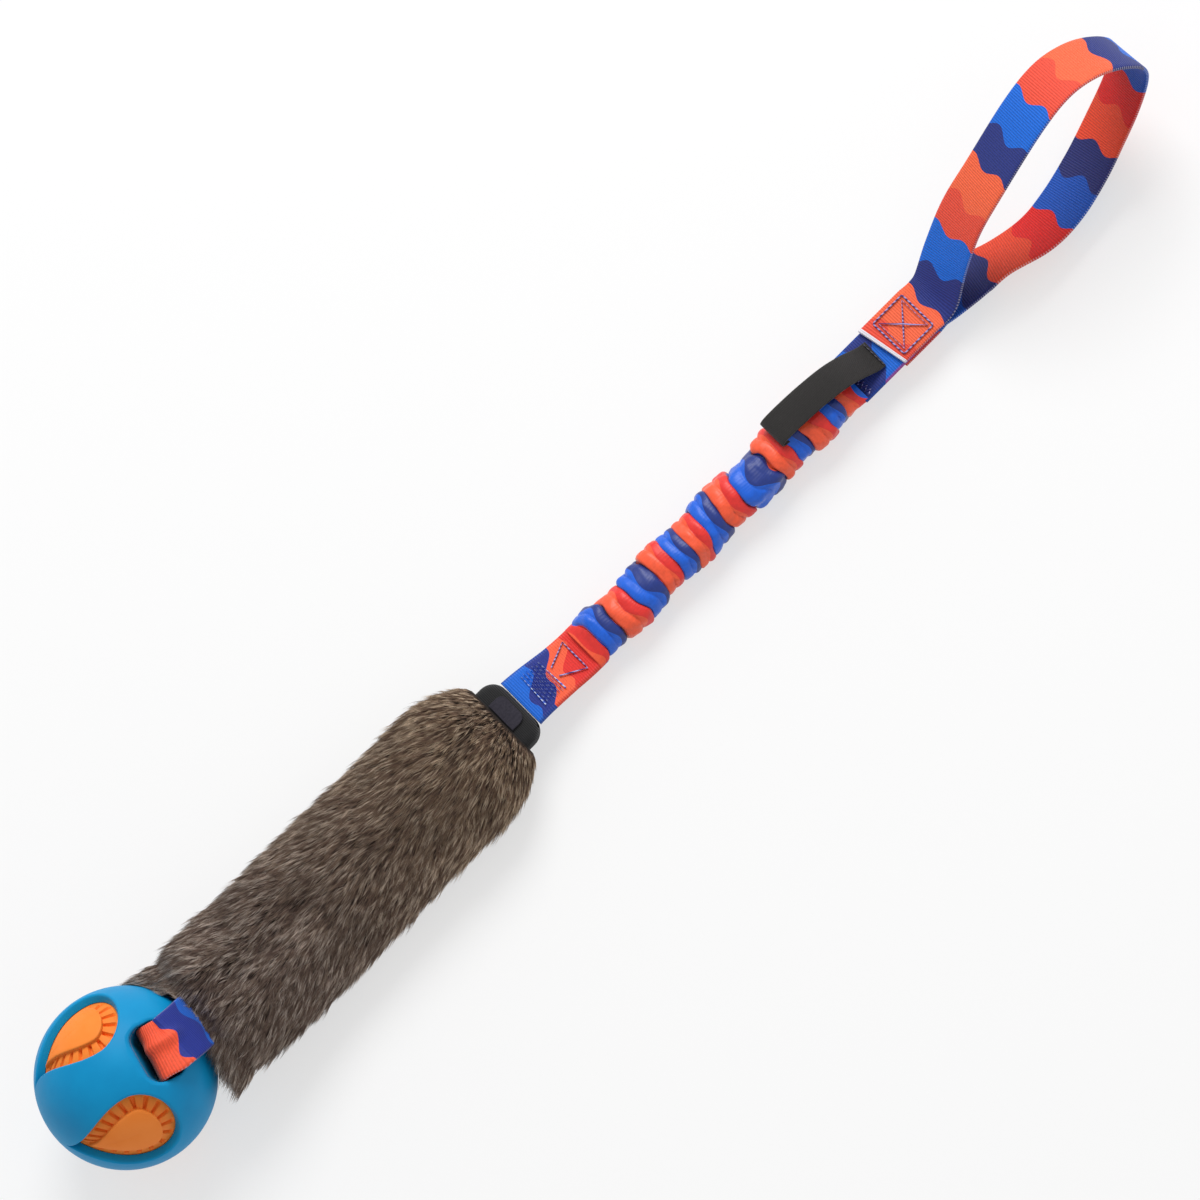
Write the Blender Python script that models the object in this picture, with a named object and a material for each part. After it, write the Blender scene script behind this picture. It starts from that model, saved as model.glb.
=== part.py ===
"""Bungee tug toy: a two-part rubber ball on a webbing tether, a fur sleeve,
a ruched bungee and a webbing hand loop. It lies along X, ball at -X, on Z = 0."""
from math import asin, atan2, cos, exp, hypot, pi, radians, sin, sqrt

import bmesh
import bpy
from mathutils import Matrix, Vector

# Fits shared by all pieces, in metres
FIT_GAP = 0.0003
PLY_GAP = 0.0003
OVERRUN = 0.004
THREAD_RADIUS = 0.00035

# Rubber ball
BALL_RADIUS = 0.039
SHELL_WALL = 0.0038
CORE_WALL = 0.0075
BALL_YAW = 15
BALL_ROLL = 10
ISLAND_DROP = 0.0022
WINDOW_EDGE = 0.0011
WINDOW_LAP = 0.0016
WINDOW_BEHIND = 0.0016
SLOT_WIDTH = 0.0012
SLOT_DEPTH = 0.0016
SLOT_COUNT = 20
HOLE_LENGTH = 0.016
HOLE_WIDTH = 0.0259
HOLE_CORNER = 0.005
HOLE_BACK = 0.010

# Webbing tether through the ball
WEBBING_WIDTH = 0.025
TETHER_THICKNESS = 0.002
TETHER_STANDOFF = 0.0011
TETHER_REACH = 0.008

# Fur sleeve
PELT_LENGTH = 0.1735
PELT_WIDTH = 0.062
PELT_HEIGHT = 0.038
PELT_FLAT = 0.0005
PELT_LIP = 0.002
MOUTH_LEVEL = 0.033
MOUTH_SWAY = 0.004
VALLEY_DEPTH = 0.004
VALLEY_WIDTH = 0.007

# Strap inside the fur and the black collar
CORE_STRAP_THICKNESS = 0.003
COLLAR_TUCK = 0.012
COLLAR_SHOWN = 0.011
COLLAR_WIDTH = 0.0336
COLLAR_THICKNESS = 0.0098
COLLAR_CORNER = 0.005
COLLAR_EDGE = 0.0018
COLLAR_SLOT = 0.0048
TONGUE_LENGTH = 0.0078
TONGUE_WIDTH = 0.0154
TONGUE_THICKNESS = 0.0009
TONGUE_SETBACK = 0.0024

# Flat webbing below the bungee
LOWER_LENGTH = 0.0356
LOWER_WIDTH = 0.0258
LOWER_THICKNESS = 0.0034
LOWER_NARROW = 0.0236
LOWER_STITCH_WIDTH = 0.017
LOWER_STITCH_LENGTH = 0.011
LOWER_STITCH_START = 0.0075
LOWER_STITCH_GAP = 0.0016
LOWER_STITCH_TEETH = 7

# Ruched bungee
SLEEVE_LENGTH = 0.1618
SLEEVE_LEVEL = 0.0108
SLEEVE_WIDTH = 0.0205
SLEEVE_HEIGHT = 0.0165
SLEEVE_END_HEIGHT = 0.0074
SLEEVE_RUFFLE = 0.0023
SLEEVE_SHEAR = 0.0016
SLEEVE_GATHER = 0.012
RUFFLE_COUNT = 23
ELASTIC_WIDTH = 0.014
ELASTIC_THICKNESS = 0.003
ELASTIC_CLEARANCE = 0.0005

# Flat webbing above the bungee and the stitched end of the hand loop
UPPER_LENGTH = 0.0436
UPPER_THICKNESS = 0.0026
UPPER_LEVEL = 0.012
PLY_THICKNESS = 0.0018
PLY_LENGTH = 0.0245
PLY_SLANT = 0.0022
BOX_WIDTH = 0.0195
BOX_MARGIN = 0.0024
CROSS_INSET = 0.0017
CROSS_HUMP = 0.0009
TACK_LENGTH = 0.009
TACK_WIDTH = 0.0024
TACK_TURNS = 8

# Folded label
LABEL_LENGTH = 0.0555
LABEL_WIDTH = 0.0145
LABEL_THICKNESS = 0.0011
LABEL_SETBACK = 0.0016
LABEL_RISE = 0.0112
LABEL_SWAY = 0.0042

# Hand loop
LOOP_REACH = 0.1317
LOOP_RISE = 0.060
LOOP_SWAY = 0.011
LOOP_THICKNESS = 0.0018
LOOP_FLOOR_GAP = 0.0001

# Shares of the sizes above
EDGE_share = 0.6
WINDOW_FRONT_share = 1.05
ISLAND_shares = (0.724, 0.5, 0.61)
EGG_TIP_share = 1.5
WINDOW_DOME_shares = (1, 0.6, 0.2)
ISLAND_DOME_shares = (0.94, 0.6, 0.25)
SLOT_REACH_shares = (-0.12, 0.78)
SLOT_SPREAD_share = 0.3
TETHER_UP_shares = ((4, 0.85, 0.90), (13, 0.72, 0.70), (23, 0.52, 0.50), (33, 0.30, 0.30),
                    (43, 0.10, 0.10))
TETHER_DOWN_shares = ((-20, 0.80, 0.80), (-28, 0.58, 0.60), (-36, 0.32, 0.35), (-44, 0.10, 0.10))
HOLE_PATH_shares = ((0.78, 0.80), (0.50, 0.66), (0.35, 0.36), (0.29, 0))
PELT_FORM_shares = ((0, 0.94, 0.90, 1, 1), (0.04, 1, 0.96, 0.96, 0.9), (0.12, 1, 1, 0.62, 0.6),
                    (0.22, 1, 1, 0.22, 0.3), (0.34, 1, 1, 0, 0), (0.50, 0.98, 1, 0, 0),
                    (0.66, 0.96, 1, 0, 0), (0.80, 0.97, 1, 0, 0), (0.88, 0.95, 0.98, 0, 0),
                    (0.93, 0.87, 0.90, 0, 0), (0.97, 0.75, 0.72, 0, 0), (1, 0.64, 0.48, 0, 0))
PELT_ROUND_share = 0.9
VALLEY_REACH_share = 0.625
BORE_FORM_shares = (0.052, 0.075)
BORE_WIDTH_shares = (0.85, 0.82, 0.55)
FUNNEL_shares = (1.02, 1.0, 0.58)
TONGUE_FORM_shares = ((0, 1), (0.55, 1), (0.8, 0.93), (0.93, 0.8), (1, 0.6))
LOWER_TAPER_share = 0.625
BAR_END_shares = (0.3, 0.95)
RUFFLE_DRIFT_shares = ((0.22, 3.1, 0), (0.13, 7.3, 1))
RUFFLE_CREST_share = 1.3
RUFFLE_TURN_shares = (2.4, 1.7)
SLEEVE_SWAY_share = 0.5
SLEEVE_ROUND_share = 0.8
UPPER_TAPER_share = 0.4
BOX_PATH_shares = (0.03, 0.5, 0.97)
CROSS_PATH_shares = ((0, 0), (0.35, 0), (0.5, 1), (0.65, 0), (1, 0))
LABEL_PATH_shares = ((0, 0, 0), (0.08, 0.12, 0.08), (0.22, 0.62, 0.30), (0.38, 0.97, 0.52),
                     (0.6, 1.05, 0.78), (0.8, 1.03, 0.94), (1, 1, 1))
LOOP_OUT_shares = ((0.05, 0.03, 0.045, 1), (0.144, 0.40, 0.22, 7), (0.26, 0.68, 0.45, 12),
                   (0.392, 0.75, 0.667, 15), (0.611, 0.94, 0.933, 15), (0.752, 1.02, 1, 16),
                   (0.862, 0.90, 0.933, 17), (0.945, 0.65, 0.79, 18), (0.998, 0.40, 0.59, 20),
                   (0.985, 0.22, 0.42, 20))
LOOP_BACK_shares = ((0.91, 0, 0.27, 18), (0.80, -0.22, 0.08, 16), (0.68, -0.55, -0.03, 16),
                    (0.54, -0.88, -0.08, 18), (0.409, -0.95, -0.09, 24), (0.258, -0.56, -0.09, 30),
                    (0.14, -0.25, -0.07, 14), (0.05, -0.06, -0.03, 0))

# Places along the toy, worked out from the sizes
loop_axis_radius = LOOP_THICKNESS + PLY_GAP
tether_roll_radius = TETHER_THICKNESS + PLY_GAP
total_length = (2 * BALL_RADIUS + TETHER_REACH - PELT_LIP + PELT_LENGTH + COLLAR_SHOWN
                + LOWER_LENGTH + SLEEVE_LENGTH + UPPER_LENGTH + loop_axis_radius + FIT_GAP
                + LOOP_REACH + LOOP_THICKNESS / 2)
ball_x = BALL_RADIUS - total_length / 2
nod_x = ball_x + BALL_RADIUS + TETHER_REACH
pelt_x = nod_x - PELT_LIP
pelt_end_x = pelt_x + PELT_LENGTH
collar_x = pelt_end_x - COLLAR_TUCK
bend_x = pelt_end_x + COLLAR_SHOWN
sleeve_x = bend_x + LOWER_LENGTH
sleeve_end_x = sleeve_x + SLEEVE_LENGTH
upper_end_x = sleeve_end_x + UPPER_LENGTH
loop_x = upper_end_x + loop_axis_radius + FIT_GAP
pelt_level = PELT_HEIGHT / 2 - PELT_FLAT
ply_x = upper_end_x - PLY_LENGTH
upper_top = UPPER_LEVEL + UPPER_THICKNESS / 2
ply_top = upper_top + FIT_GAP + PLY_THICKNESS
label_level = upper_top + FIT_GAP + LABEL_THICKNESS / 2
ball_matrix = (Matrix.Translation((ball_x, 0, BALL_RADIUS)) @ Matrix.Rotation(radians(BALL_ROLL), 4, 'X')
               @ Matrix.Rotation(-radians(BALL_YAW), 4, 'Z'))
ball_row = ball_matrix.to_3x3()

for old in list(bpy.data.objects):
    bpy.data.objects.remove(old)

toy = bpy.data.collections.new("bungee_tug_toy")
cutters = bpy.data.collections.new("cutters")
bpy.context.scene.collection.children.link(toy)
bpy.context.scene.collection.children.link(cutters)


def finish_material(name, colour, roughness):
    material = bpy.data.materials.new(name)
    material.use_nodes = True
    shader = material.node_tree.nodes["Principled BSDF"]
    shader.inputs["Base Color"].default_value = (*colour, 1)
    shader.inputs["Roughness"].default_value = roughness
    shader.inputs["Metallic"].default_value = 0
    return material


def add_part(name, mesh, colour, roughness, pivot=None):
    """Links a mesh as a node, its origin moved to its joint's pivot."""
    part = bpy.data.objects.new(name, mesh)
    toy.objects.link(part)
    mesh.materials.clear()
    mesh.materials.append(finish_material(name, colour, roughness))
    if pivot is not None:
        mesh.transform(Matrix.Translation(-Vector(pivot)))
        part.location = pivot
    return part


def as_mesh(name, shape):
    bmesh.ops.recalc_face_normals(shape, faces=shape.faces)
    mesh = bpy.data.meshes.new(name)
    shape.to_mesh(mesh)
    shape.free()
    return mesh


def smooth_shading(mesh, crease=35):
    mesh.shade_smooth()
    mesh.set_sharp_from_angle(angle=radians(crease))


def loft_mesh(name, rings, cyclic=False):
    """Skins rings of equally many points; the ends are capped unless the loft is a closed loop."""
    shape = bmesh.new()
    rows = [[shape.verts.new(point) for point in ring] for ring in rings]
    pairs = list(zip(rows, rows[1:]))
    if cyclic:
        pairs.append((rows[-1], rows[0]))
    for row, following in pairs:
        for i in range(len(row)):
            j = (i + 1) % len(row)
            shape.faces.new((row[i], row[j], following[j], following[i]))
    if not cyclic:
        shape.faces.new(rows[0])
        shape.faces.new(rows[-1])
    return as_mesh(name, shape)


def cut(part, cutter_mesh, operation='DIFFERENCE'):
    """Cuts or joins a part with a mesh that stands in world space."""
    cutter = bpy.data.objects.new(cutter_mesh.name, cutter_mesh)
    cutters.objects.link(cutter)
    cutter.hide_render = True
    cutter.display_type = 'WIRE'
    step = part.modifiers.new(cutter_mesh.name, 'BOOLEAN')
    step.operation = operation
    step.solver = 'EXACT'
    step.object = cutter
    return step


def rounded_section(centre, across, up, half_width, half_height, corner):
    """Eight points of a rectangle whose corners are cut back."""
    cut_across = min(corner, half_width / 2)
    cut_up = min(corner, half_height / 2)
    flat = half_width - cut_across
    side = half_height - cut_up
    pairs = ((half_width, -side), (half_width, side), (flat, half_height), (-flat, half_height),
             (-half_width, side), (-half_width, -side), (-flat, -half_height), (flat, -half_height))
    return [centre + across * a + up * b for a, b in pairs]


def smooth_path(points, steps):
    """A Catmull-Rom curve through points of any dimension."""
    padded = [points[0], *points, points[-1]]
    path = []
    for a, b, c, d in zip(padded, padded[1:], padded[2:], padded[3:]):
        for step in range(steps):
            t = step / steps
            path.append([(2 * q + (r - p) * t + (2 * p - 5 * q + 4 * r - s) * t * t
                          + (3 * q - p - 3 * r + s) * t ** 3) / 2
                         for p, q, r, s in zip(a, b, c, d)])
    path.append(list(points[-1]))
    return path


def ribbon_rings(stations, thickness):
    """Sections of flat webbing: a station is centre, lateral direction and width."""
    centres = [Vector(station[0]) for station in stations]
    rings = []
    for i, (_, across, width) in enumerate(stations):
        tangent = (centres[min(i + 1, len(centres) - 1)] - centres[max(i - 1, 0)]).normalized()
        across = Vector(across)
        across = (across - tangent * across.dot(tangent)).normalized()
        up = tangent.cross(across)
        rings.append(rounded_section(centres[i], across, up, width / 2, thickness / 2,
                                     thickness / 2 * EDGE_share))
    return rings


def straight_rings(spans, slant=0):
    """Sections square to X: a span is x, y, level, width and height."""
    rings = []
    for x, y, level, width, height in spans:
        ring = rounded_section(Vector((x, y, level)), Vector((0, 1, 0)), Vector((0, 0, 1)),
                               width / 2, height / 2, height / 2 * EDGE_share)
        for point in ring:
            point.x += slant * (y - point.y) / (width / 2)
        rings.append(ring)
    return rings


def cylinder_mesh(name, centre, radius, length, direction, segments=16):
    shape = bmesh.new()
    bmesh.ops.create_cone(shape, cap_ends=True, segments=segments, radius1=radius, radius2=radius,
                          depth=length)
    turn = Vector((0, 0, 1)).rotation_difference(Vector(direction)).to_matrix().to_4x4()
    bmesh.ops.transform(shape, matrix=Matrix.Translation(centre) @ turn, verts=shape.verts)
    return as_mesh(name, shape)


def sphere_mesh(name, radius, columns, rows, matrix):
    shape = bmesh.new()
    bmesh.ops.create_uvsphere(shape, u_segments=columns, v_segments=rows, radius=radius)
    bmesh.ops.transform(shape, matrix=matrix, verts=shape.verts)
    return as_mesh(name, shape)


def thread_mesh(name, points, radius, cyclic=False):
    """A thread: a bevelled curve with filled caps, welded into one mesh."""
    curve = bpy.data.curves.new(name, 'CURVE')
    curve.dimensions = '3D'
    curve.bevel_depth = radius
    curve.bevel_resolution = 1
    curve.use_fill_caps = not cyclic
    spline = curve.splines.new('POLY')
    spline.points.add(len(points) - 1)
    spline.use_cyclic_u = cyclic
    for target, point in zip(spline.points, points):
        target.co = (*point, 1)
    holder = bpy.data.objects.new(name + "_curve", curve)
    bpy.context.scene.collection.objects.link(holder)
    evaluated = holder.evaluated_get(bpy.context.evaluated_depsgraph_get())
    mesh = bpy.data.meshes.new_from_object(evaluated)
    mesh.name = name
    bpy.data.objects.remove(holder)
    shape = bmesh.new()
    shape.from_mesh(mesh)
    bmesh.ops.remove_doubles(shape, verts=shape.verts, dist=radius / 100)
    shape.to_mesh(mesh)
    shape.free()
    return mesh


# Rubber ball: an outer shell with four egg-shaped windows over a core
core_radius = BALL_RADIUS - SHELL_WALL - FIT_GAP
island_radius = BALL_RADIUS - ISLAND_DROP
hole_start = BALL_RADIUS - HOLE_BACK - HOLE_LENGTH
hole_centre = hole_start + HOLE_LENGTH / 2
# the windows reach a little past the hole's sides and its start, and leave a rib round it
window_side = pi / 4 - asin((HOLE_WIDTH / 2 - WINDOW_LAP) / BALL_RADIUS)
window_back = asin((hole_start + WINDOW_BEHIND) / BALL_RADIUS)
window_egg = (WINDOW_FRONT_share, window_back, window_side)
island_egg = tuple(size * share for size, share in zip(window_egg, ISLAND_shares))
ball_columns = 36
ball_rows = 18


def egg_direction(window, turn, egg, scale=1):
    """A direction on the outline of a window, in the ball's frame, its nose at -X."""
    front, back, side = egg
    if cos(turn) >= 0:
        along = front * cos(turn)
        aside = side * cos(pi / 2 * cos(turn)) ** EGG_TIP_share
        if sin(turn) < 0:
            aside = -aside
    else:
        along = back * cos(turn)
        aside = side * sin(turn)
    spin = pi / 4 + window * pi / 2
    centre = Vector((0, sin(spin), cos(spin)))
    sideways = Vector((0, cos(spin), -sin(spin)))
    reach = hypot(along, aside) * scale
    bearing = atan2(aside, along)
    heading = Vector((-1, 0, 0)) * cos(bearing) + sideways * sin(bearing)
    return centre * cos(reach) + heading * sin(reach)


def egg_ring(window, egg, scale, radius, count):
    return [ball_matrix @ (egg_direction(window, 2 * pi * i / count, egg, scale) * radius)
            for i in range(count)]


def window_cutter(window):
    """A tapered plug through the shell, wider at the face, for a chamfered edge."""
    flare = 1 + 2 * WINDOW_EDGE / BALL_RADIUS
    outside = BALL_RADIUS + OVERRUN
    levels = [(1, BALL_RADIUS - SHELL_WALL - OVERRUN), (1, BALL_RADIUS - WINDOW_EDGE),
              (flare, BALL_RADIUS)]
    levels += [(flare * share, outside) for share in WINDOW_DOME_shares]
    rings = [egg_ring(window, window_egg, scale, radius, 26) for scale, radius in levels]
    return loft_mesh(f"window_cutter_{window}", rings)


def island_mesh(window):
    """A raised oval that follows the ball, its rim a little rounded."""
    levels = [(1, core_radius - SLOT_DEPTH - WINDOW_EDGE), (1, island_radius - WINDOW_EDGE / 2)]
    levels += [(share, island_radius) for share in ISLAND_DOME_shares]
    rings = [egg_ring(window, island_egg, scale, radius, 22) for scale, radius in levels]
    return loft_mesh(f"island_{window}", rings)


def even_turns(count, samples=240):
    """Angles round the egg that space the slots evenly along its edge, from its tip."""
    turns = [2 * pi * i / samples for i in range(samples + 1)]
    middle = []
    for turn in turns:
        inner = egg_direction(0, turn, island_egg)
        middle.append(inner.lerp(egg_direction(0, turn, window_egg), SLOT_SPREAD_share))
    lengths = [0]
    for a, b in zip(middle, middle[1:]):
        lengths.append(lengths[-1] + (b - a).length)
    chosen = []
    for i in range(count):
        target = lengths[-1] * i / count
        nearest = min(range(samples), key=lambda j: abs(lengths[j] - target))
        chosen.append(turns[nearest])
    return chosen


def slot_corners(window, turn):
    """The eight corners of one radial slot between island and window edge."""
    inner = egg_direction(window, turn, island_egg)
    outer = egg_direction(window, turn, window_egg)
    corners = []
    for share in SLOT_REACH_shares:
        direction = inner.lerp(outer, share).normalized()
        sideways = direction.cross(outer - inner).normalized() * (SLOT_WIDTH / 2)
        for radius in (core_radius - SLOT_DEPTH, core_radius + OVERRUN):
            corners.append((direction * radius + sideways, direction * radius - sideways))
    return corners


def slots_mesh():
    shape = bmesh.new()
    for window in range(4):
        for turn in even_turns(SLOT_COUNT):
            corners = slot_corners(window, turn)
            low_a, high_a, low_b, high_b = [[shape.verts.new(ball_matrix @ p) for p in pair]
                                            for pair in corners]
            for face in ((low_a[0], low_a[1], high_a[1], high_a[0]),
                         (low_b[0], high_b[0], high_b[1], low_b[1]),
                         (low_a[0], low_b[0], low_b[1], low_a[1]),
                         (high_a[0], high_a[1], high_b[1], high_b[0]),
                         (low_a[0], high_a[0], high_b[0], low_b[0]),
                         (low_a[1], low_b[1], high_b[1], high_a[1])):
                shape.faces.new(face)
    return as_mesh("slot_cutters", shape)


def tunnel_mesh():
    """A rounded slot along the ball's own Z, for the tether."""
    outline = []
    inset_x = HOLE_LENGTH / 2 - HOLE_CORNER
    inset_y = HOLE_WIDTH / 2 - HOLE_CORNER
    for quarter, (sx, sy) in enumerate(((1, 1), (-1, 1), (-1, -1), (1, -1))):
        for step in range(4):
            turn = (quarter + step / 3) * pi / 2
            outline.append((hole_centre + sx * inset_x + HOLE_CORNER * cos(turn),
                            sy * inset_y + HOLE_CORNER * sin(turn)))
    reach = BALL_RADIUS + OVERRUN
    rings = [[ball_matrix @ Vector((x, y, z)) for x, y in outline] for z in (-reach, reach)]
    return loft_mesh("tether_tunnel", rings)


def build_ball():
    pivot = ball_matrix @ Vector((hole_centre, 0, 0))
    shell_mesh = sphere_mesh("ball_shell", BALL_RADIUS, ball_columns + 4, ball_rows + 2, ball_matrix)
    shell = add_part("ball_shell", shell_mesh, (0.01, 0.24, 0.52), 0.5)
    cut(shell, sphere_mesh("shell_inside", core_radius + FIT_GAP, ball_columns, ball_rows, ball_matrix))
    for window in range(4):
        cut(shell, window_cutter(window))
    cut(shell, tunnel_mesh())
    core_mesh = sphere_mesh("ball_core", core_radius, ball_columns, ball_rows, ball_matrix)
    core = add_part("ball_core", core_mesh, (0.93, 0.25, 0.05), 0.55)
    cut(core, slots_mesh()).use_self = True
    for window in range(4):
        cut(core, island_mesh(window), 'UNION')
    cut(core, sphere_mesh("core_inside", core_radius - CORE_WALL, 24, 12, ball_matrix))
    cut(core, tunnel_mesh())
    for part in (shell, core):
        part.data.transform(Matrix.Translation(-pivot))
        part.location = pivot


def tether_stations():
    """The strap's route: out of the mouth, over the ball's back, down the hole and back."""
    away = BALL_RADIUS + TETHER_STANDOFF + TETHER_THICKNESS / 2
    ply = (TETHER_THICKNESS + PLY_GAP) / 2
    lower_ball = Vector((ball_x, 0, BALL_RADIUS))
    mouth = Vector((nod_x, -MOUTH_SWAY, MOUTH_LEVEL))
    back_y = (ball_row.inverted() @ (mouth - lower_ball)).y
    inner = [(hole_start + HOLE_LENGTH * x_share, 0, BALL_RADIUS * z_share, 0)
             for x_share, z_share in HOLE_PATH_shares]
    over = [(away * cos(radians(lift)), back_y * aside, away * sin(radians(lift)), turn)
            for lift, aside, turn in TETHER_UP_shares]
    under = [(away * cos(radians(lift)), back_y * aside, away * sin(radians(lift)), turn)
             for lift, aside, turn in TETHER_DOWN_shares]
    route = over + inner + [(x, y, -z, turn) for x, y, z, turn in inner[-2::-1]] + under[::-1]
    placed = []
    for x, y, z, turn in route:
        place = ball_matrix @ Vector((x, y, z))
        placed.append((*place, BALL_YAW * (turn - 1)))
    first = mouth + Vector((0, 0, ply))
    last = mouth - Vector((0, 0, ply))
    placed = [(*first, 0), *placed, (*last, 0)]
    stations = []
    for x, y, z, yaw in smooth_path(placed, 3):
        stations.append(((x, y, z), (-sin(radians(yaw)), cos(radians(yaw)), 0), WEBBING_WIDTH))
    return stations


def build_tether():
    """The tether turns where its two ends are rolled and sewn, in the fur's mouth."""
    mouth = Vector((nod_x, -MOUTH_SWAY, MOUTH_LEVEL))
    mesh = loft_mesh("ball_tether", ribbon_rings(tether_stations(), TETHER_THICKNESS))
    tether = add_part("ball_tether", mesh, (0.02, 0.06, 0.32), 0.7)
    cut(tether, cylinder_mesh("tether_roll", mouth, tether_roll_radius, WEBBING_WIDTH, (0, 1, 0)),
        'UNION')
    mesh.transform(Matrix.Translation(-mouth))
    tether.location = mouth


# Fur sleeve and the strap inside it
def pelt_form(count):
    """Stations along the sleeve: x, sway, level, half width and half height."""
    form = []
    for share, wide, high, lift, sway in smooth_path(PELT_FORM_shares, count):
        form.append((pelt_x + PELT_LENGTH * share, -MOUTH_SWAY * sway,
                     pelt_level + (MOUTH_LEVEL - pelt_level) * lift,
                     PELT_WIDTH / 2 * wide, PELT_HEIGHT / 2 * high))
    return form


def pelt_ring(x, sway, level, half_width, half_height, points=28):
    """A softened ellipse with a valley along its top, flat where it lies on the floor."""
    share = (x - pelt_x) / PELT_LENGTH
    depth = VALLEY_DEPTH * max(0, 1 - share / VALLEY_REACH_share)
    ring = []
    for i in range(points):
        turn = 2 * pi * (i + 0.5) / points
        reach_y = abs(cos(turn)) ** PELT_ROUND_share * (1 if cos(turn) > 0 else -1)
        reach_z = abs(sin(turn)) ** PELT_ROUND_share * (1 if sin(turn) > 0 else -1)
        y = half_width * reach_y
        z = half_height * reach_z
        if z > 0:
            z -= depth * exp(-(y / VALLEY_WIDTH) ** 2)
        ring.append(Vector((x, sway + y, max(0, level + z))))
    return ring


def core_line(x):
    """Sway and level of the strap inside the fur at x."""
    form = pelt_form(4)
    for a, b in zip(form, form[1:]):
        if a[0] <= x <= b[0]:
            t = (x - a[0]) / (b[0] - a[0])
            return a[1] + (b[1] - a[1]) * t, a[2] + (b[2] - a[2]) * t
    return 0, pelt_level


def core_stations(start, finish, count):
    places = [start + (finish - start) * i / count for i in range(count + 1)]
    return [(x, *core_line(x)) for x in places]


def build_pelt():
    rings = [pelt_ring(*station) for station in pelt_form(2)]
    mesh = loft_mesh("pelt_sleeve", rings)
    pelt = add_part("pelt_sleeve", mesh, (0.07, 0.05, 0.035), 0.95)
    slot_width = WEBBING_WIDTH + 2 * FIT_GAP + PLY_GAP
    slot_height = CORE_STRAP_THICKNESS + 2 * FIT_GAP
    throat, narrow = (pelt_x + PELT_LENGTH * share for share in BORE_FORM_shares)
    spans = []
    for x, wide, high in zip((pelt_x - OVERRUN, pelt_x, throat), BORE_WIDTH_shares, FUNNEL_shares):
        spans.append((x, *core_line(max(x, pelt_x)), PELT_WIDTH * wide, PELT_HEIGHT * high))
    for x, sway, level in core_stations(narrow, collar_x - FIT_GAP, 12):
        spans.append((x, sway, level, slot_width, slot_height))
    pocket_width = COLLAR_WIDTH + 2 * FIT_GAP
    pocket_height = COLLAR_THICKNESS + 2 * FIT_GAP
    spans.append((collar_x - FIT_GAP, 0, pelt_level, pocket_width, pocket_height))
    spans.append((pelt_end_x + OVERRUN, 0, pelt_level, pocket_width, pocket_height))
    cut(pelt, loft_mesh("pelt_bore", straight_rings(spans)))


def build_core_strap():
    start = nod_x + tether_roll_radius + FIT_GAP
    finish = bend_x - LOWER_THICKNESS / 2 - FIT_GAP
    spans = [(x, sway, level, WEBBING_WIDTH, CORE_STRAP_THICKNESS)
             for x, sway, level in core_stations(start, finish, 14)]
    add_part("core_strap", loft_mesh("core_strap", straight_rings(spans)), (0.02, 0.02, 0.025), 0.8)


# Black collar at the fur's tail
def rounded_end(distance, size, radius):
    """A half size that rounds off over the last stretch before an end."""
    if distance >= radius:
        return size
    return size - radius + sqrt(radius ** 2 - (radius - distance) ** 2)


def build_collar():
    half_width = COLLAR_WIDTH / 2
    half_height = COLLAR_THICKNESS / 2
    distances = [COLLAR_CORNER * (1 - sin(pi / 2 * i / 7)) for i in range(8)]
    spans = [(collar_x, 0, pelt_level, COLLAR_WIDTH, COLLAR_THICKNESS)]
    for distance in distances:
        spans.append((bend_x - distance, 0, pelt_level,
                      2 * rounded_end(distance, half_width, COLLAR_CORNER),
                      2 * rounded_end(distance, half_height, COLLAR_EDGE)))
    collar = add_part("collar_band", loft_mesh("collar_band", straight_rings(spans)),
                      (0.012, 0.012, 0.013), 0.85)
    slot = [(x, 0, pelt_level, LOWER_WIDTH + 4 * FIT_GAP, COLLAR_SLOT)
            for x in (collar_x - OVERRUN, bend_x + OVERRUN)]
    cut(collar, loft_mesh("collar_slot", straight_rings(slot)))
    length = min(TONGUE_LENGTH, COLLAR_SHOWN - TONGUE_SETBACK - FIT_GAP)
    tongue_level = pelt_level + half_height + FIT_GAP + TONGUE_THICKNESS / 2
    end = bend_x - TONGUE_SETBACK
    spans = [(end - length + length * share, 0, tongue_level, TONGUE_WIDTH * wide, TONGUE_THICKNESS)
             for share, wide in TONGUE_FORM_shares]
    add_part("collar_tongue", loft_mesh("collar_tongue", straight_rings(spans)),
             (0.03, 0.028, 0.035), 0.9)


# Flat webbing between collar and bungee
def lower_level(x):
    share = min(1, max(0, (x - bend_x) / LOWER_LENGTH))
    ease = share * share * (3 - 2 * share)
    return pelt_level + (SLEEVE_LEVEL - pelt_level) * ease


def lower_width(x):
    share = min(1, max(0, (x - bend_x) / LOWER_LENGTH))
    return LOWER_WIDTH + (LOWER_NARROW - LOWER_WIDTH) * min(1, share / LOWER_TAPER_share)


def build_lower_strap():
    half = LOWER_THICKNESS / 2
    spans = []
    for i in range(1, 6):
        turn = pi / 2 * i / 6
        spans.append((bend_x - half * cos(turn), 0, pelt_level, LOWER_WIDTH, LOWER_THICKNESS * sin(turn)))
    steps = 12
    for i in range(steps + 1):
        x = bend_x + (LOWER_LENGTH - FIT_GAP) * i / steps
        spans.append((x, 0, lower_level(x), lower_width(x), LOWER_THICKNESS))
    mesh = loft_mesh("lower_strap", straight_rings(spans))
    add_part("lower_strap", mesh, (0.03, 0.09, 0.42), 0.7, pivot=(bend_x, 0, pelt_level))


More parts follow.
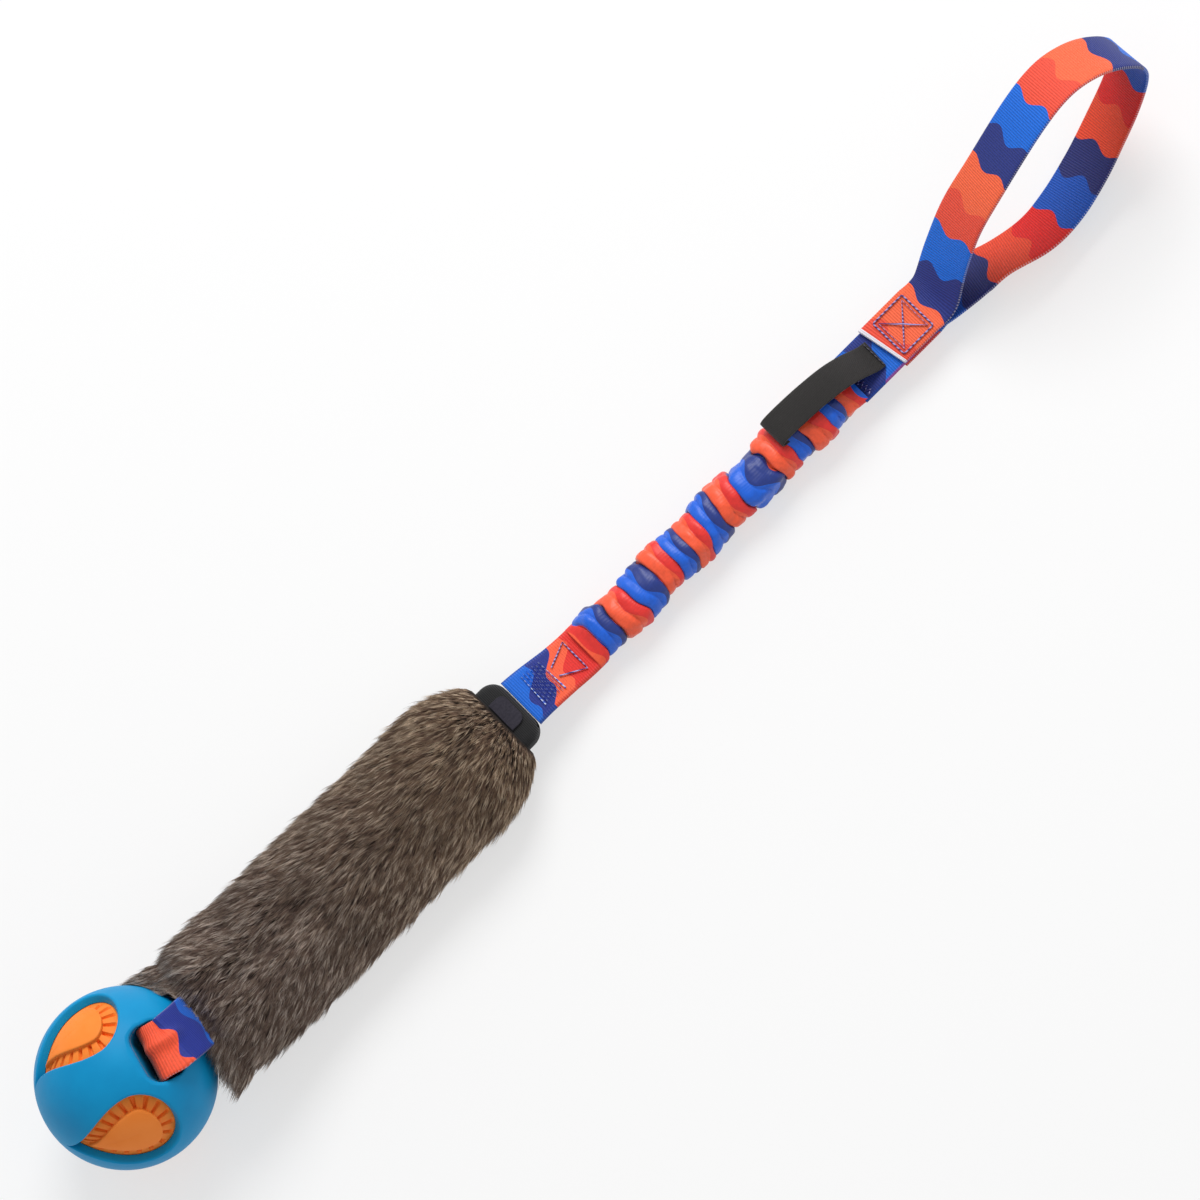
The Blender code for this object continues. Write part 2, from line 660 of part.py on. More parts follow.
def thread_level(x):
    """Height of a thread's middle where it lies on the lower strap."""
    slope = (lower_level(x + THREAD_RADIUS) - lower_level(x)) / THREAD_RADIUS
    return lower_level(x) + LOWER_THICKNESS / 2 * sqrt(1 + slope ** 2) + FIT_GAP + THREAD_RADIUS


def build_lower_stitches():
    pivot = (bend_x, 0, pelt_level)
    half = LOWER_STITCH_WIDTH / 2
    start = bend_x + LOWER_STITCH_START
    turns = 2 * LOWER_STITCH_TEETH
    rows = []
    for i in range(turns + 1):
        x = start + LOWER_STITCH_LENGTH * i / turns
        rows.append((x, half if i % 2 else -half, thread_level(x)))
    mesh = thread_mesh("lower_zigzag_stitch", rows, THREAD_RADIUS)
    add_part("lower_zigzag_stitch", mesh, (0.10, 0.35, 0.75), 0.6, pivot=pivot)
    left = start + LOWER_STITCH_LENGTH + LOWER_STITCH_GAP
    right = left + LOWER_STITCH_LENGTH
    near, far = (half * share for share in BAR_END_shares)
    corners = ((left, near), (right, far), (right, -far), (left, -near))
    rows = []
    for (ax, ay), (bx, by) in zip(corners, corners[1:]):
        for share in (0, 0.5):
            x = ax + (bx - ax) * share
            rows.append((x, ay + (by - ay) * share, thread_level(x)))
    rows.append((corners[-1][0], corners[-1][1], thread_level(corners[-1][0])))
    mesh = thread_mesh("lower_bar_stitch", rows, THREAD_RADIUS)
    add_part("lower_bar_stitch", mesh, (0.05, 0.04, 0.12), 0.6, pivot=pivot)


# Ruched sleeve over the flat elastic
def ruffle(x):
    """Minus one in a valley and one on a crest, with crests of uneven width."""
    share = (x - sleeve_x) / SLEEVE_LENGTH
    phase = share * RUFFLE_COUNT
    for size, rate, offset in RUFFLE_DRIFT_shares:
        phase += size * sin(2 * pi * share * rate + offset)
    return 1 - 2 * abs(sin(pi * phase)) ** RUFFLE_CREST_share, phase


def gather(x):
    """Rises from 0 at the sleeve's flat ends to 1 where it is fully ruched."""
    edge = min(x - sleeve_x, sleeve_end_x - x) / SLEEVE_GATHER
    edge = min(1, max(0, edge))
    return edge * edge * (3 - 2 * edge)


def sleeve_level(x):
    share = (x - sleeve_x) / SLEEVE_LENGTH
    return SLEEVE_LEVEL + (UPPER_LEVEL - SLEEVE_LEVEL) * share


def sleeve_ring(x, points=14):
    wave, phase = ruffle(x)
    rise = gather(x)
    swing, twist = (sin(phase * share) for share in RUFFLE_TURN_shares)
    sway = SLEEVE_SHEAR * SLEEVE_SWAY_share * swing * rise
    crest = SLEEVE_RUFFLE / 2 * wave * rise
    half_width = (LOWER_NARROW + (SLEEVE_WIDTH - LOWER_NARROW) * rise) / 2 + crest
    half_height = (SLEEVE_END_HEIGHT + (SLEEVE_HEIGHT - SLEEVE_END_HEIGHT) * rise) / 2 + crest
    ring = []
    for i in range(points):
        turn = 2 * pi * i / points
        reach_y = abs(cos(turn)) ** SLEEVE_ROUND_share * (1 if cos(turn) > 0 else -1)
        lean = SLEEVE_SHEAR * reach_y * twist * rise
        ring.append(Vector((x + lean, sway + half_width * reach_y,
                            sleeve_level(x) + half_height * sin(turn))))
    return ring


def build_sleeve():
    steps = 4 * RUFFLE_COUNT
    start = sleeve_x
    finish = sleeve_end_x - FIT_GAP
    rings = [sleeve_ring(start + (finish - start) * i / steps) for i in range(steps + 1)]
    pivot = (sleeve_x, 0, SLEEVE_LEVEL)
    mesh = loft_mesh("bungee_sleeve", rings)
    sleeve = add_part("bungee_sleeve", mesh, (0.75, 0.10, 0.05), 0.75, pivot=pivot)
    bore = [(x, 0, sleeve_level(x), ELASTIC_WIDTH + 2 * ELASTIC_CLEARANCE,
             ELASTIC_THICKNESS + 2 * ELASTIC_CLEARANCE)
            for x in (sleeve_x - OVERRUN, sleeve_end_x + OVERRUN)]
    cut(sleeve, loft_mesh("sleeve_bore", straight_rings(bore)))
    spans = [(x, 0, sleeve_level(x), ELASTIC_WIDTH, ELASTIC_THICKNESS)
             for x in (sleeve_x, sleeve_end_x - FIT_GAP)]
    add_part("elastic_strip", loft_mesh("elastic_strip", straight_rings(spans)),
             (0.6, 0.58, 0.52), 0.6, pivot=pivot)


# Flat webbing above the bungee, the plies sewn to it and their stitches
def build_upper_strap():
    taper_x = sleeve_end_x + UPPER_LENGTH * UPPER_TAPER_share
    spans = [(sleeve_end_x, 0, UPPER_LEVEL, LOWER_NARROW, UPPER_THICKNESS),
             (taper_x, 0, UPPER_LEVEL, WEBBING_WIDTH, UPPER_THICKNESS),
             (upper_end_x, 0, UPPER_LEVEL, WEBBING_WIDTH, UPPER_THICKNESS)]
    add_part("upper_strap", loft_mesh("upper_strap", straight_rings(spans)), (0.02, 0.06, 0.32), 0.7)
    for name, side in (("handle_end_top", 1), ("handle_end_bottom", -1)):
        level = UPPER_LEVEL + side * (UPPER_THICKNESS / 2 + FIT_GAP + PLY_THICKNESS / 2)
        rings = straight_rings([(ply_x, 0, level, WEBBING_WIDTH, PLY_THICKNESS)], slant=PLY_SLANT)
        rings += straight_rings([(upper_end_x, 0, level, WEBBING_WIDTH, PLY_THICKNESS)])
        add_part(name, loft_mesh(name, rings), (0.85, 0.16, 0.06), 0.7)


def build_handle_stitches():
    level = ply_top + FIT_GAP + THREAD_RADIUS
    half = BOX_WIDTH / 2
    left = ply_x + PLY_SLANT + BOX_MARGIN
    right = upper_end_x - BOX_MARGIN
    frame = ((left, -half), (right, -half), (right, half), (left, half))
    points = []
    for (ax, ay), (bx, by) in zip(frame, frame[1:] + frame[:1]):
        for share in BOX_PATH_shares:
            points.append((ax + (bx - ax) * share, ay + (by - ay) * share, level))
    mesh = thread_mesh("handle_box_stitch", points, THREAD_RADIUS, cyclic=True)
    add_part("handle_box_stitch", mesh, (0.25, 0.15, 0.45), 0.6)
    left += CROSS_INSET
    right -= CROSS_INSET
    half -= CROSS_INSET
    first = ((left, -half), (right, half))
    second = ((right, -half), (left, half))
    points = []
    for (start, finish), hump in ((first, 0), (second, CROSS_HUMP)):
        for share, rise in CROSS_PATH_shares:
            points.append((start[0] + (finish[0] - start[0]) * share,
                           start[1] + (finish[1] - start[1]) * share, level + hump * rise))
    mesh = thread_mesh("handle_cross_stitch", points, THREAD_RADIUS, cyclic=True)
    add_part("handle_cross_stitch", mesh, (0.25, 0.15, 0.45), 0.6)
    level = upper_top + FIT_GAP + THREAD_RADIUS
    start = sleeve_end_x + THREAD_RADIUS * 2
    centre_y = -LOWER_NARROW / 2 + TACK_LENGTH / 2 + THREAD_RADIUS * 3
    points = []
    for i in range(TACK_TURNS + 1):
        points.append((start + (TACK_WIDTH if i % 2 else 0),
                       centre_y + TACK_LENGTH * (i / TACK_TURNS - 0.5), level))
    mesh = thread_mesh("sleeve_tack", points, THREAD_RADIUS)
    add_part("sleeve_tack", mesh, (0.06, 0.02, 0.12), 0.6)


# Folded label, sewn under the edge of the top ply
def build_label():
    axis = Vector((ply_x - PLY_SLANT - LABEL_SETBACK, 0, label_level))
    points = [(axis.x - LABEL_LENGTH * reach, LABEL_SWAY * sway, axis.z + LABEL_RISE * rise)
              for reach, rise, sway in LABEL_PATH_shares]
    stations = [(place, (0, 1, 0), LABEL_WIDTH) for place in smooth_path(points, 3)]
    mesh = loft_mesh("label_tab", ribbon_rings(stations, LABEL_THICKNESS))
    add_part("label_tab", mesh, (0.012, 0.011, 0.010), 0.85, pivot=axis)
    level = axis.z + LABEL_THICKNESS / 2 + FIT_GAP + THREAD_RADIUS
    half = LABEL_WIDTH / 2 - THREAD_RADIUS * 3
    inset = THREAD_RADIUS * 2
    mesh = thread_mesh("label_tack", [(axis.x - inset, -half, level), (axis.x - inset, half, level)],
                       THREAD_RADIUS)
    add_part("label_tack", mesh, (0.02, 0.02, 0.02), 0.7, pivot=axis)


# Hand loop
def build_loop():
    axis = Vector((loop_x, 0, UPPER_LEVEL))
    ply = (LOOP_THICKNESS + PLY_GAP) / 2
    half_width = WEBBING_WIDTH / 2
    route = [(0, 0, ply, 0)]
    for reach, sway, rise, twist in LOOP_OUT_shares:
        route.append((LOOP_REACH * reach, LOOP_SWAY * sway, ply + LOOP_RISE * rise, twist))
    for reach, sway, rise, twist in LOOP_BACK_shares:
        route.append((LOOP_REACH * reach, LOOP_SWAY * sway, LOOP_RISE * rise - ply, twist))
    route.append((0, 0, -ply, 0))
    stations = []
    for x, y, z, twist in smooth_path(route, 3):
        turn = radians(twist)
        low = half_width * abs(sin(turn)) + LOOP_THICKNESS / 2 * cos(turn) + LOOP_FLOOR_GAP
        level = max(axis.z + z, low)
        stations.append(((axis.x + x, y, level), (0, cos(turn), -sin(turn)), WEBBING_WIDTH))
    mesh = loft_mesh("handle_loop", ribbon_rings(stations, LOOP_THICKNESS))
    loop = add_part("handle_loop", mesh, (0.85, 0.16, 0.06), 0.7)
    cut(loop, cylinder_mesh("loop_roll", axis, loop_axis_radius, WEBBING_WIDTH, (0, 1, 0)), 'UNION')
    mesh.transform(Matrix.Translation(-axis))
    loop.location = axis


build_ball()
build_tether()
build_pelt()
build_core_strap()
build_collar()
build_lower_strap()
build_lower_stitches()
build_sleeve()
build_upper_strap()
build_handle_stitches()
build_label()
build_loop()
for part in toy.objects:
    smooth_shading(part.data)
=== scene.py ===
from math import asin, atan, atan2, cos, exp, hypot, pi, radians, sin, sqrt

import bmesh
import bpy
import numpy as np
from mathutils import Matrix, Vector, noise


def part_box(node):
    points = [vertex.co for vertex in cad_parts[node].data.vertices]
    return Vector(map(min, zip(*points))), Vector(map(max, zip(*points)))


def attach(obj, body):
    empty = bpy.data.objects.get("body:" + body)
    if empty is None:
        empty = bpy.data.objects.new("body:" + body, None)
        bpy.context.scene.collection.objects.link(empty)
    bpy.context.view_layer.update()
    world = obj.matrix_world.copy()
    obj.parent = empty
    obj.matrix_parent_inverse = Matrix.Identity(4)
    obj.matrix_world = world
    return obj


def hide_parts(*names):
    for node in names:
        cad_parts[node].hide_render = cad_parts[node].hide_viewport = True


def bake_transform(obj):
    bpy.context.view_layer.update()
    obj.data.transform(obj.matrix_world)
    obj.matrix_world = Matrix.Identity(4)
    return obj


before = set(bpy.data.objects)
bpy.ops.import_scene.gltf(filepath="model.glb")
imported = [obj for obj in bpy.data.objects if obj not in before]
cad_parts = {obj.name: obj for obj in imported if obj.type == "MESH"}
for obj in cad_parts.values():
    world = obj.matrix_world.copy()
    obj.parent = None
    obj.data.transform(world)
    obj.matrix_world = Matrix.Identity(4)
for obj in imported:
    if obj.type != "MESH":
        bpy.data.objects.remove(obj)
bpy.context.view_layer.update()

scene = bpy.context.scene
print("frame loaded:", len(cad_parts), "nodes")

# Camera: the photograph looks down steeply and a little from the toy's near side
camera = dict(target=(0.0015, 0.00704, 0.021), distance=2.6, tilt=72, roll=-45, view=0.5115, sensor=36)


def addCamera():
    tilt = radians(camera["tilt"])
    right = Vector((1, 0, 0))
    up = Vector((0, sin(tilt), cos(tilt)))
    back = Vector((0, -cos(tilt), sin(tilt)))
    turn = Matrix((right, up, back)).transposed() @ Matrix.Rotation(radians(camera["roll"]), 3, 'Z')
    data = bpy.data.cameras.new("camera")
    data.sensor_width = camera["sensor"]
    data.lens = camera["sensor"] * camera["distance"] / camera["view"]
    lens = bpy.data.objects.new("camera", data)
    place = Vector(camera["target"]) + back * camera["distance"]
    lens.matrix_world = Matrix.Translation(place) @ turn.to_4x4()
    scene.collection.objects.link(lens)
    scene.camera = lens
    print("camera ready")


# Materials
def hexColour(code):
    # sRGB hex to linear
    parts = [int(code[i:i + 2], 16) / 255 for i in (1, 3, 5)]
    return (*[c / 12.92 if c <= 0.04045 else ((c + 0.055) / 1.055) ** 2.4 for c in parts], 1)


def outlet(source):
    # a node stands for its first output, and a Mix node for its colour
    if isinstance(source, bpy.types.ShaderNodeMix):
        return source.outputs[2]
    return source.outputs[0] if isinstance(source, bpy.types.Node) else source


def addNode(owner, kind, inputs=None, stops=(), **settings):
    # inputs hold numbers, hex colours, nodes or sockets, and stops are a ramp's places and colours
    node = owner.node_tree.nodes.new("ShaderNode" + kind)
    for name, value in settings.items():
        setattr(node, name, value)
    for key, value in (inputs or {}).items():
        source = outlet(value)
        if isinstance(source, bpy.types.NodeSocket):
            owner.node_tree.links.new(source, node.inputs[key])
        else:
            node.inputs[key].default_value = hexColour(source) if isinstance(source, str) else source
    if stops:
        ramp = node.color_ramp.elements
        while len(ramp) < len(stops):
            ramp.new(1)
        for element, (place, colour) in zip(ramp, stops):
            element.position = place
            element.color = hexColour(colour)
    return node


def link(owner, source, node, socket):
    owner.node_tree.links.new(outlet(source), node.inputs[socket])


def newMaterial(name, **settings):
    # settings are the shader's sockets, with underscores for spaces
    material = bpy.data.materials.new(name)
    material.use_nodes = True
    shader = material.node_tree.nodes["Principled BSDF"]
    for key, value in settings.items():
        shader.inputs[key.replace("_", " ")].default_value = value
    return material, shader


# Moulded rubber: an even matt skin, with a faint mottle and a fine grain from the mould; the grain is
# drawn coarser than the mould's so that it shows; sizes in metres
rubber = dict(grain=0.0005, mottle=0.02, relief=0.00003, stops=(0.3, 0.5, 0.72), wear=(-0.06, 0.08))


def mouldedRubber(name, base, deep, pale, rough):
    material, shader = newMaterial(name, Roughness=rough, IOR=1.5, Specular_IOR_Level=0.2)
    place = addNode(material, "TexCoord").outputs["Object"]
    mottle = addNode(material, "TexNoise", {"Vector": place, "Scale": 1 / rubber["mottle"], "Detail": 4})
    grain = addNode(material, "TexNoise", {"Vector": place, "Scale": 1 / rubber["grain"], "Detail": 2})
    stops = list(zip(rubber["stops"], (deep, base, pale)))
    tone = addNode(material, "ValToRGB", {"Fac": mottle}, stops=stops)
    link(material, tone, shader, "Base Color")
    least, most = rubber["wear"]
    worn = addNode(material, "MapRange", {"Value": mottle, 3: rough + least, 4: rough + most})
    link(material, worn, shader, "Roughness")
    bump = addNode(material, "Bump", {"Height": grain, "Strength": 0.35, "Distance": rubber["relief"]})
    link(material, bump, shader, "Normal")
    return material


# Printed nylon webbing: matt wave bands over a fine cross rib, with painted shade in the grooves between the
# ribs, pale dots along the selvedge where the undyed yarn shows, and a white line where the end was cut with
# heat; sizes in metres, and the fibre's flecks are drawn coarser than real fibres so that they show
webbing = dict(width=0.025, halfBand=0.0358, rib=0.0011, yarn=0.0006, fibre=1 / 900, wave=0.0018,
               waveLength=0.0175, relief=0.00012, rim=0.0004, cutLine=0.0016, undyed="#D4CFE0",
               heatCut="#E9E6F0")


def clothPlace(material):
    # the cloth's own map, and its distances across and along in metres
    place = addNode(material, "UVMap", uv_map="cloth")
    split = addNode(material, "SeparateXYZ", {0: place})
    return place, split.outputs[0], split.outputs[1]


def ripple(material, distance, spacing):
    # a wave from -1 to 1 along a distance, such as ribs or yarns
    angle = addNode(material, "Math", {0: distance, 1: 2 * pi / spacing}, operation='MULTIPLY')
    return addNode(material, "Math", {0: angle}, operation='SINE')


def waveBands(material, across, along, half, wave, waveLength, shift, splits):
    # generic wave bands: 0 or 1 for the pair of tones, and 0 or 1 for the tone of each pair
    parts = []
    for turn, reach in ((0.9, 1.0), (2.2, 1.3)):
        angle = addNode(material, "Math", {0: across, 1: 2 * pi / waveLength, 2: turn},
                        operation='MULTIPLY_ADD')
        swing = addNode(material, "Math", {0: angle}, operation='SINE')
        moved = addNode(material, "Math", {0: swing, 1: wave * reach, 2: along}, operation='MULTIPLY_ADD')
        steps = addNode(material, "Math", {0: moved, 1: 1 / (2 * half), 2: shift}, operation='MULTIPLY_ADD')
        parts.append(addNode(material, "Math", {0: steps}, operation='FRACT'))
    pair = addNode(material, "Math", {0: parts[0], 1: 0.5}, operation='GREATER_THAN')
    tones = []
    for quarter, split in ((0.25, splits[0]), (-0.25, splits[1])):
        # a quarter turn keeps the step from 1 back to 0 away from this pair's own band
        turned = addNode(material, "Math", {0: parts[1], 1: quarter}, operation='ADD')
        within = addNode(material, "Math", {0: turned}, operation='FRACT')
        tones.append(addNode(material, "Math", {0: within, 1: 0.25 + split / 2}, operation='GREATER_THAN'))
    return pair, *tones


def printColour(material, bands, tones):
    pair, cool, warm = bands
    blues = addNode(material, "Mix", {0: cool, 6: tones[0], 7: tones[1]}, data_type='RGBA')
    oranges = addNode(material, "Mix", {0: warm, 6: tones[2], 7: tones[3]}, data_type='RGBA')
    return addNode(material, "Mix", {0: pair, 6: blues, 7: oranges}, data_type='RGBA')


def printedWebbing(name, tones, backTones, shift=0.0, half=webbing["halfBand"], splits=(0.46, 0.46),
                   slope=0.0, cutEdge=False, paintedRibShade=0.74, selvedge=0.4):
    material, shader = newMaterial(name, Roughness=0.6, IOR=1.53, Specular_IOR_Level=0.3,
                                   Sheen_Weight=0.12, Sheen_Roughness=0.4)
    place, across, length = clothPlace(material)
    along = addNode(material, "Math", {0: across, 1: -slope, 2: length}, operation='MULTIPLY_ADD')
    bands = waveBands(material, across, along, half, webbing["wave"], webbing["waveLength"], shift, splits)
    front, back = [printColour(material, bands, pair) for pair in (tones, backTones)]
    side = addNode(material, "Attribute", attribute_name="back").outputs["Fac"]
    colour = addNode(material, "Mix", {0: side, 6: front, 7: back}, data_type='RGBA')
    rib = ripple(material, length, webbing["rib"])
    yarn = ripple(material, across, webbing["yarn"])
    fibre = addNode(material, "TexNoise", {"Vector": place, "Scale": 1 / webbing["fibre"], "Detail": 3})
    # painted shade: the colour darkens in the grooves between the ribs, where shade falls
    shade = addNode(material, "MapRange", {0: rib, 1: -1.0, 2: 0.2, 3: paintedRibShade, 4: 1.02})
    fleck = addNode(material, "MapRange", {0: fibre, 1: 0.25, 2: 0.75, 3: 0.88, 4: 1.12})
    level = addNode(material, "Math", {0: shade, 1: fleck}, operation='MULTIPLY')
    colour = addNode(material, "Mix", {0: 1.0, 6: colour, 7: level}, data_type='RGBA', blend_type='MULTIPLY')
    # the selvedge shows its undyed yarn between the ribs
    offset = addNode(material, "Math", {0: across}, operation='ABSOLUTE')
    rim = addNode(material, "Math", {0: offset, 1: webbing["width"] / 2 - webbing["rim"]},
                  operation='GREATER_THAN')
    gaps = addNode(material, "Math", {0: rib, 1: 0.1}, operation='GREATER_THAN')
    dots = addNode(material, "Math", {0: rim, 1: gaps}, operation='MULTIPLY')
    pale = addNode(material, "Math", {0: dots, 1: selvedge}, operation='MULTIPLY')
    colour = addNode(material, "Mix", {0: pale, 6: colour, 7: webbing["undyed"]}, data_type='RGBA')
    if cutEdge:
        cut = addNode(material, "Math", {0: length, 1: webbing["cutLine"]}, operation='LESS_THAN')
        colour = addNode(material, "Mix", {0: cut, 6: colour, 7: webbing["heatCut"]}, data_type='RGBA')
    link(material, colour, shader, "Base Color")
    weave = addNode(material, "Math", {0: yarn, 1: 0.25, 2: rib}, operation='MULTIPLY_ADD')
    bump = addNode(material, "Bump", {"Height": weave, "Strength": 0.6, "Distance": webbing["relief"]})
    link(material, bump, shader, "Normal")
    return material


# Ruched tubular webbing: the same print on thin shiny cloth, with painted shade darkening its creases; a wave
# in folds, not metres, because each fold keeps its tone and two folds make a band; yarn and fibre are drawn
# coarse
ruche = dict(yarn=0.0009, fibre=1 / 700, relief=0.00008, foldsInBand=2.0, wave=0.13, waveLength=0.017,
             splits=(0.6, 0.56), paintedCreaseShade=0.42)


def ruchedWebbing(name, tones):
    material, shader = newMaterial(name, Roughness=0.42, IOR=1.53, Specular_IOR_Level=0.4,
                                   Sheen_Weight=0.2, Sheen_Roughness=0.35)
    place, across, _ = clothPlace(material)
    fold, crest = [addNode(material, "Attribute", attribute_name=mark).outputs["Fac"]
                   for mark in ("fold", "crest")]
    bands = waveBands(material, across, fold, ruche["foldsInBand"], ruche["wave"], ruche["waveLength"], 0.0,
                      ruche["splits"])
    # painted shade: the colour darkens where the cloth is least full, in the creases
    depth = addNode(material, "MapRange", {0: crest, 1: 0.1, 2: 0.8, 3: ruche["paintedCreaseShade"], 4: 1.0})
    yarn = ripple(material, across, ruche["yarn"])
    fibre = addNode(material, "TexNoise", {"Vector": place, "Scale": 1 / ruche["fibre"], "Detail": 3})
    fleck = addNode(material, "MapRange", {0: fibre, 1: 0.25, 2: 0.75, 3: 0.88, 4: 1.1})
    level = addNode(material, "Math", {0: depth, 1: fleck}, operation='MULTIPLY')
    colour = addNode(material, "Mix", {0: 1.0, 6: printColour(material, bands, tones), 7: level},
                     data_type='RGBA', blend_type='MULTIPLY')
    link(material, colour, shader, "Base Color")
    height = addNode(material, "Math", {0: yarn, 1: 0.5, 2: fibre}, operation='MULTIPLY_ADD')
    bump = addNode(material, "Bump", {"Height": height, "Strength": 0.35, "Distance": ruche["relief"]})
    link(material, bump, shader, "Normal")
    return material


# Plain dyed webbing and tape: ribs along one axis of the object, finer ones across them, painted light on
# the raised yarns with painted shade between them, and pale lint, which is drawn coarser than real lint so
# that it shows
tape = dict(crossing=0.8, lint=1 / 1400, relief=0.00012)


def wovenTape(name, base, pale, rib, direction, rough=0.8):
    material, shader = newMaterial(name, Roughness=rough, IOR=1.53, Specular_IOR_Level=0.25,
                                   Sheen_Weight=0.15, Sheen_Roughness=0.5)
    place = addNode(material, "TexCoord").outputs["Object"]
    split = addNode(material, "SeparateXYZ", {0: place})
    ribs = ripple(material, split.outputs[direction], rib)
    crossing = ripple(material, split.outputs[1 - direction], rib * tape["crossing"])
    lint = addNode(material, "TexNoise", {"Vector": place, "Scale": 1 / tape["lint"], "Detail": 4})
    height = addNode(material, "Math", {0: crossing, 1: 0.3, 2: ribs}, operation='MULTIPLY_ADD')
    # painted light and shade: the raised yarns are painted paler and the hollows between them darker
    paintedRidgeLight = addNode(material, "MapRange", {0: height, 1: -1.3, 2: 1.3, 3: 0.0, 4: 0.8})
    tone = addNode(material, "Math", {0: lint, 1: 0.5, 2: paintedRidgeLight}, operation='MULTIPLY_ADD')
    link(material, addNode(material, "Mix", {0: tone, 6: base, 7: pale}, data_type='RGBA'), shader,
         "Base Color")
    bump = addNode(material, "Bump", {"Height": height, "Strength": 0.7, "Distance": tape["relief"]})
    link(material, bump, shader, "Normal")
    return material


# Twisted polyester thread: two tones turn round it; the real twist is too fine to show, so one turn is
# drawn as long as a stitch
thread = dict(stitch=0.0024, relief=0.0001)


def sewingThread(name, first, second):
    material, shader = newMaterial(name, Roughness=0.5, IOR=1.53, Specular_IOR_Level=0.4)
    place = addNode(material, "TexCoord").outputs["Object"]
    split = addNode(material, "SeparateXYZ", {0: place})
    slanted = addNode(material, "Math", {0: split.outputs[0], 1: split.outputs[1]}, operation='ADD')
    twist = ripple(material, slanted, thread["stitch"])
    tone = addNode(material, "MapRange", {0: twist, 1: -0.4, 2: 0.4})
    link(material, addNode(material, "Mix", {0: tone, 6: first, 7: second}, data_type='RGBA'), shader,
         "Base Color")
    bump = addNode(material, "Bump", {"Height": twist, "Strength": 0.5, "Distance": thread["relief"]})
    link(material, bump, shader, "Normal")
    return material


# Hair: dark at the root and lighter at its tip, each lock with its own tone; the pelt is a little greyer
# at the ball's end and browner at the collar's
pelage = dict(patch=1 / 55, greyer="#F2F1F6", browner="#FFF6E8", change=(-0.2, -0.09))


def furHair(name, root, middle, tip, paleTip):
    material, shader = newMaterial(name, Roughness=0.55, IOR=1.55, Specular_IOR_Level=0.35)
    tone, reach = [addNode(material, "Attribute", attribute_name=mark).outputs["Fac"]
                   for mark in ("tone", "reach")]
    place = addNode(material, "TexCoord").outputs["Object"]
    end = addNode(material, "Mix", {0: tone, 6: tip, 7: paleTip}, data_type='RGBA')
    lower = addNode(material, "MapRange", {0: reach, 1: 0.05, 2: 0.5})
    upper = addNode(material, "MapRange", {0: reach, 1: 0.35, 2: 0.8})
    body = addNode(material, "Mix", {0: lower, 6: root, 7: middle}, data_type='RGBA')
    colour = addNode(material, "Mix", {0: upper, 6: body, 7: end}, data_type='RGBA')
    split = addNode(material, "SeparateXYZ", {0: place})
    start, finish = pelage["change"]
    warm = addNode(material, "MapRange", {0: split.outputs[0], 1: start, 2: finish})
    tint = addNode(material, "Mix", {0: warm, 6: pelage["greyer"], 7: pelage["browner"]}, data_type='RGBA')
    spots = addNode(material, "TexNoise", {"Vector": place, "Scale": 1 / pelage["patch"], "Detail": 3})
    patch = addNode(material, "MapRange", {0: spots, 1: 0.3, 2: 0.7, 3: 0.8, 4: 1.15})
    for shade in (tint, patch):
        colour = addNode(material, "Mix", {0: 1.0, 6: colour, 7: shade}, data_type='RGBA',
                         blend_type='MULTIPLY')
    link(material, colour, shader, "Base Color")
    return material


# Short matted fibres, for the tanned hide under the hair and the cut felt: dull and mottled, the fibres
# drawn coarse so that they show
matting = dict(relief=0.0003)


def mattedCloth(name, base, pale, fibre):
    material, shader = newMaterial(name, Roughness=0.9, IOR=1.5, Specular_IOR_Level=0.2)
    place = addNode(material, "TexCoord").outputs["Object"]
    fibres = addNode(material, "TexNoise", {"Vector": place, "Scale": 1 / fibre, "Detail": 6,
                                            "Roughness": 0.7})
    link(material, addNode(material, "Mix", {0: fibres, 6: base, 7: pale}, data_type='RGBA'), shader,
         "Base Color")
    bump = addNode(material, "Bump", {"Height": fibres, "Strength": 0.8, "Distance": matting["relief"]})
    link(material, bump, shader, "Normal")
    return material


frontTones = ("#22307E", "#0A6ADB", "#F2503A", "#FF6A42")
backTones = ("#1B2468", "#0B4FB4", "#DC1F1C", "#E8492A")
tetherTones = ("#0A5FC8", "#1D2F8E", "#FB5A38", "#E23A2C")
shellRubber = mouldedRubber("blueMouldedRubber", "#0090C8", "#008AC2", "#0496CE", 0.5)
coreRubber = mouldedRubber("orangeMouldedRubber", "#FB8A34", "#F5822D", "#FF9240", 0.55)
loopWebbing = printedWebbing("printedNylonWebbing", frontTones, backTones, shift=0.63, cutEdge=True)
lowerWebbing = printedWebbing("printedNylonLowerWebbing", ("#0A66D4", "#1E2F86", "#FF6440", "#E8302A"),
                              backTones, shift=0.173, half=0.026, splits=(0.63, 0.35), slope=0.48,
                              paintedRibShade=0.88, selvedge=0.05)
neckWebbing = printedWebbing("printedNylonNeckWebbing", ("#0A66D4", "#1D2F80", "#0A66D4", "#1D2F80"),
                             backTones, half=0.030, splits=(0.5, 0.5), slope=0.5, selvedge=0.1)
tetherWebbing = printedWebbing("printedNylonTetherWebbing", tetherTones, tetherTones, half=0.0385,
                               splits=(0.58, 0.7), paintedRibShade=0.84, selvedge=0.3)
sleeveCloth = ruchedWebbing("ruchedTubularWebbing", ("#0B60D8", "#16307F", "#F85A35", "#E8302A"))
collarWebbing = wovenTape("blackWovenWebbing", "#0A0A0B", "#232324", 0.0008, 0)
innerWebbing = wovenTape("blackInnerWebbing", "#0C0C0D", "#242426", 0.0013, 0)
labelTape = wovenTape("blackWovenSatinTape", "#141211", "#262322", 0.0005, 1, 0.6)
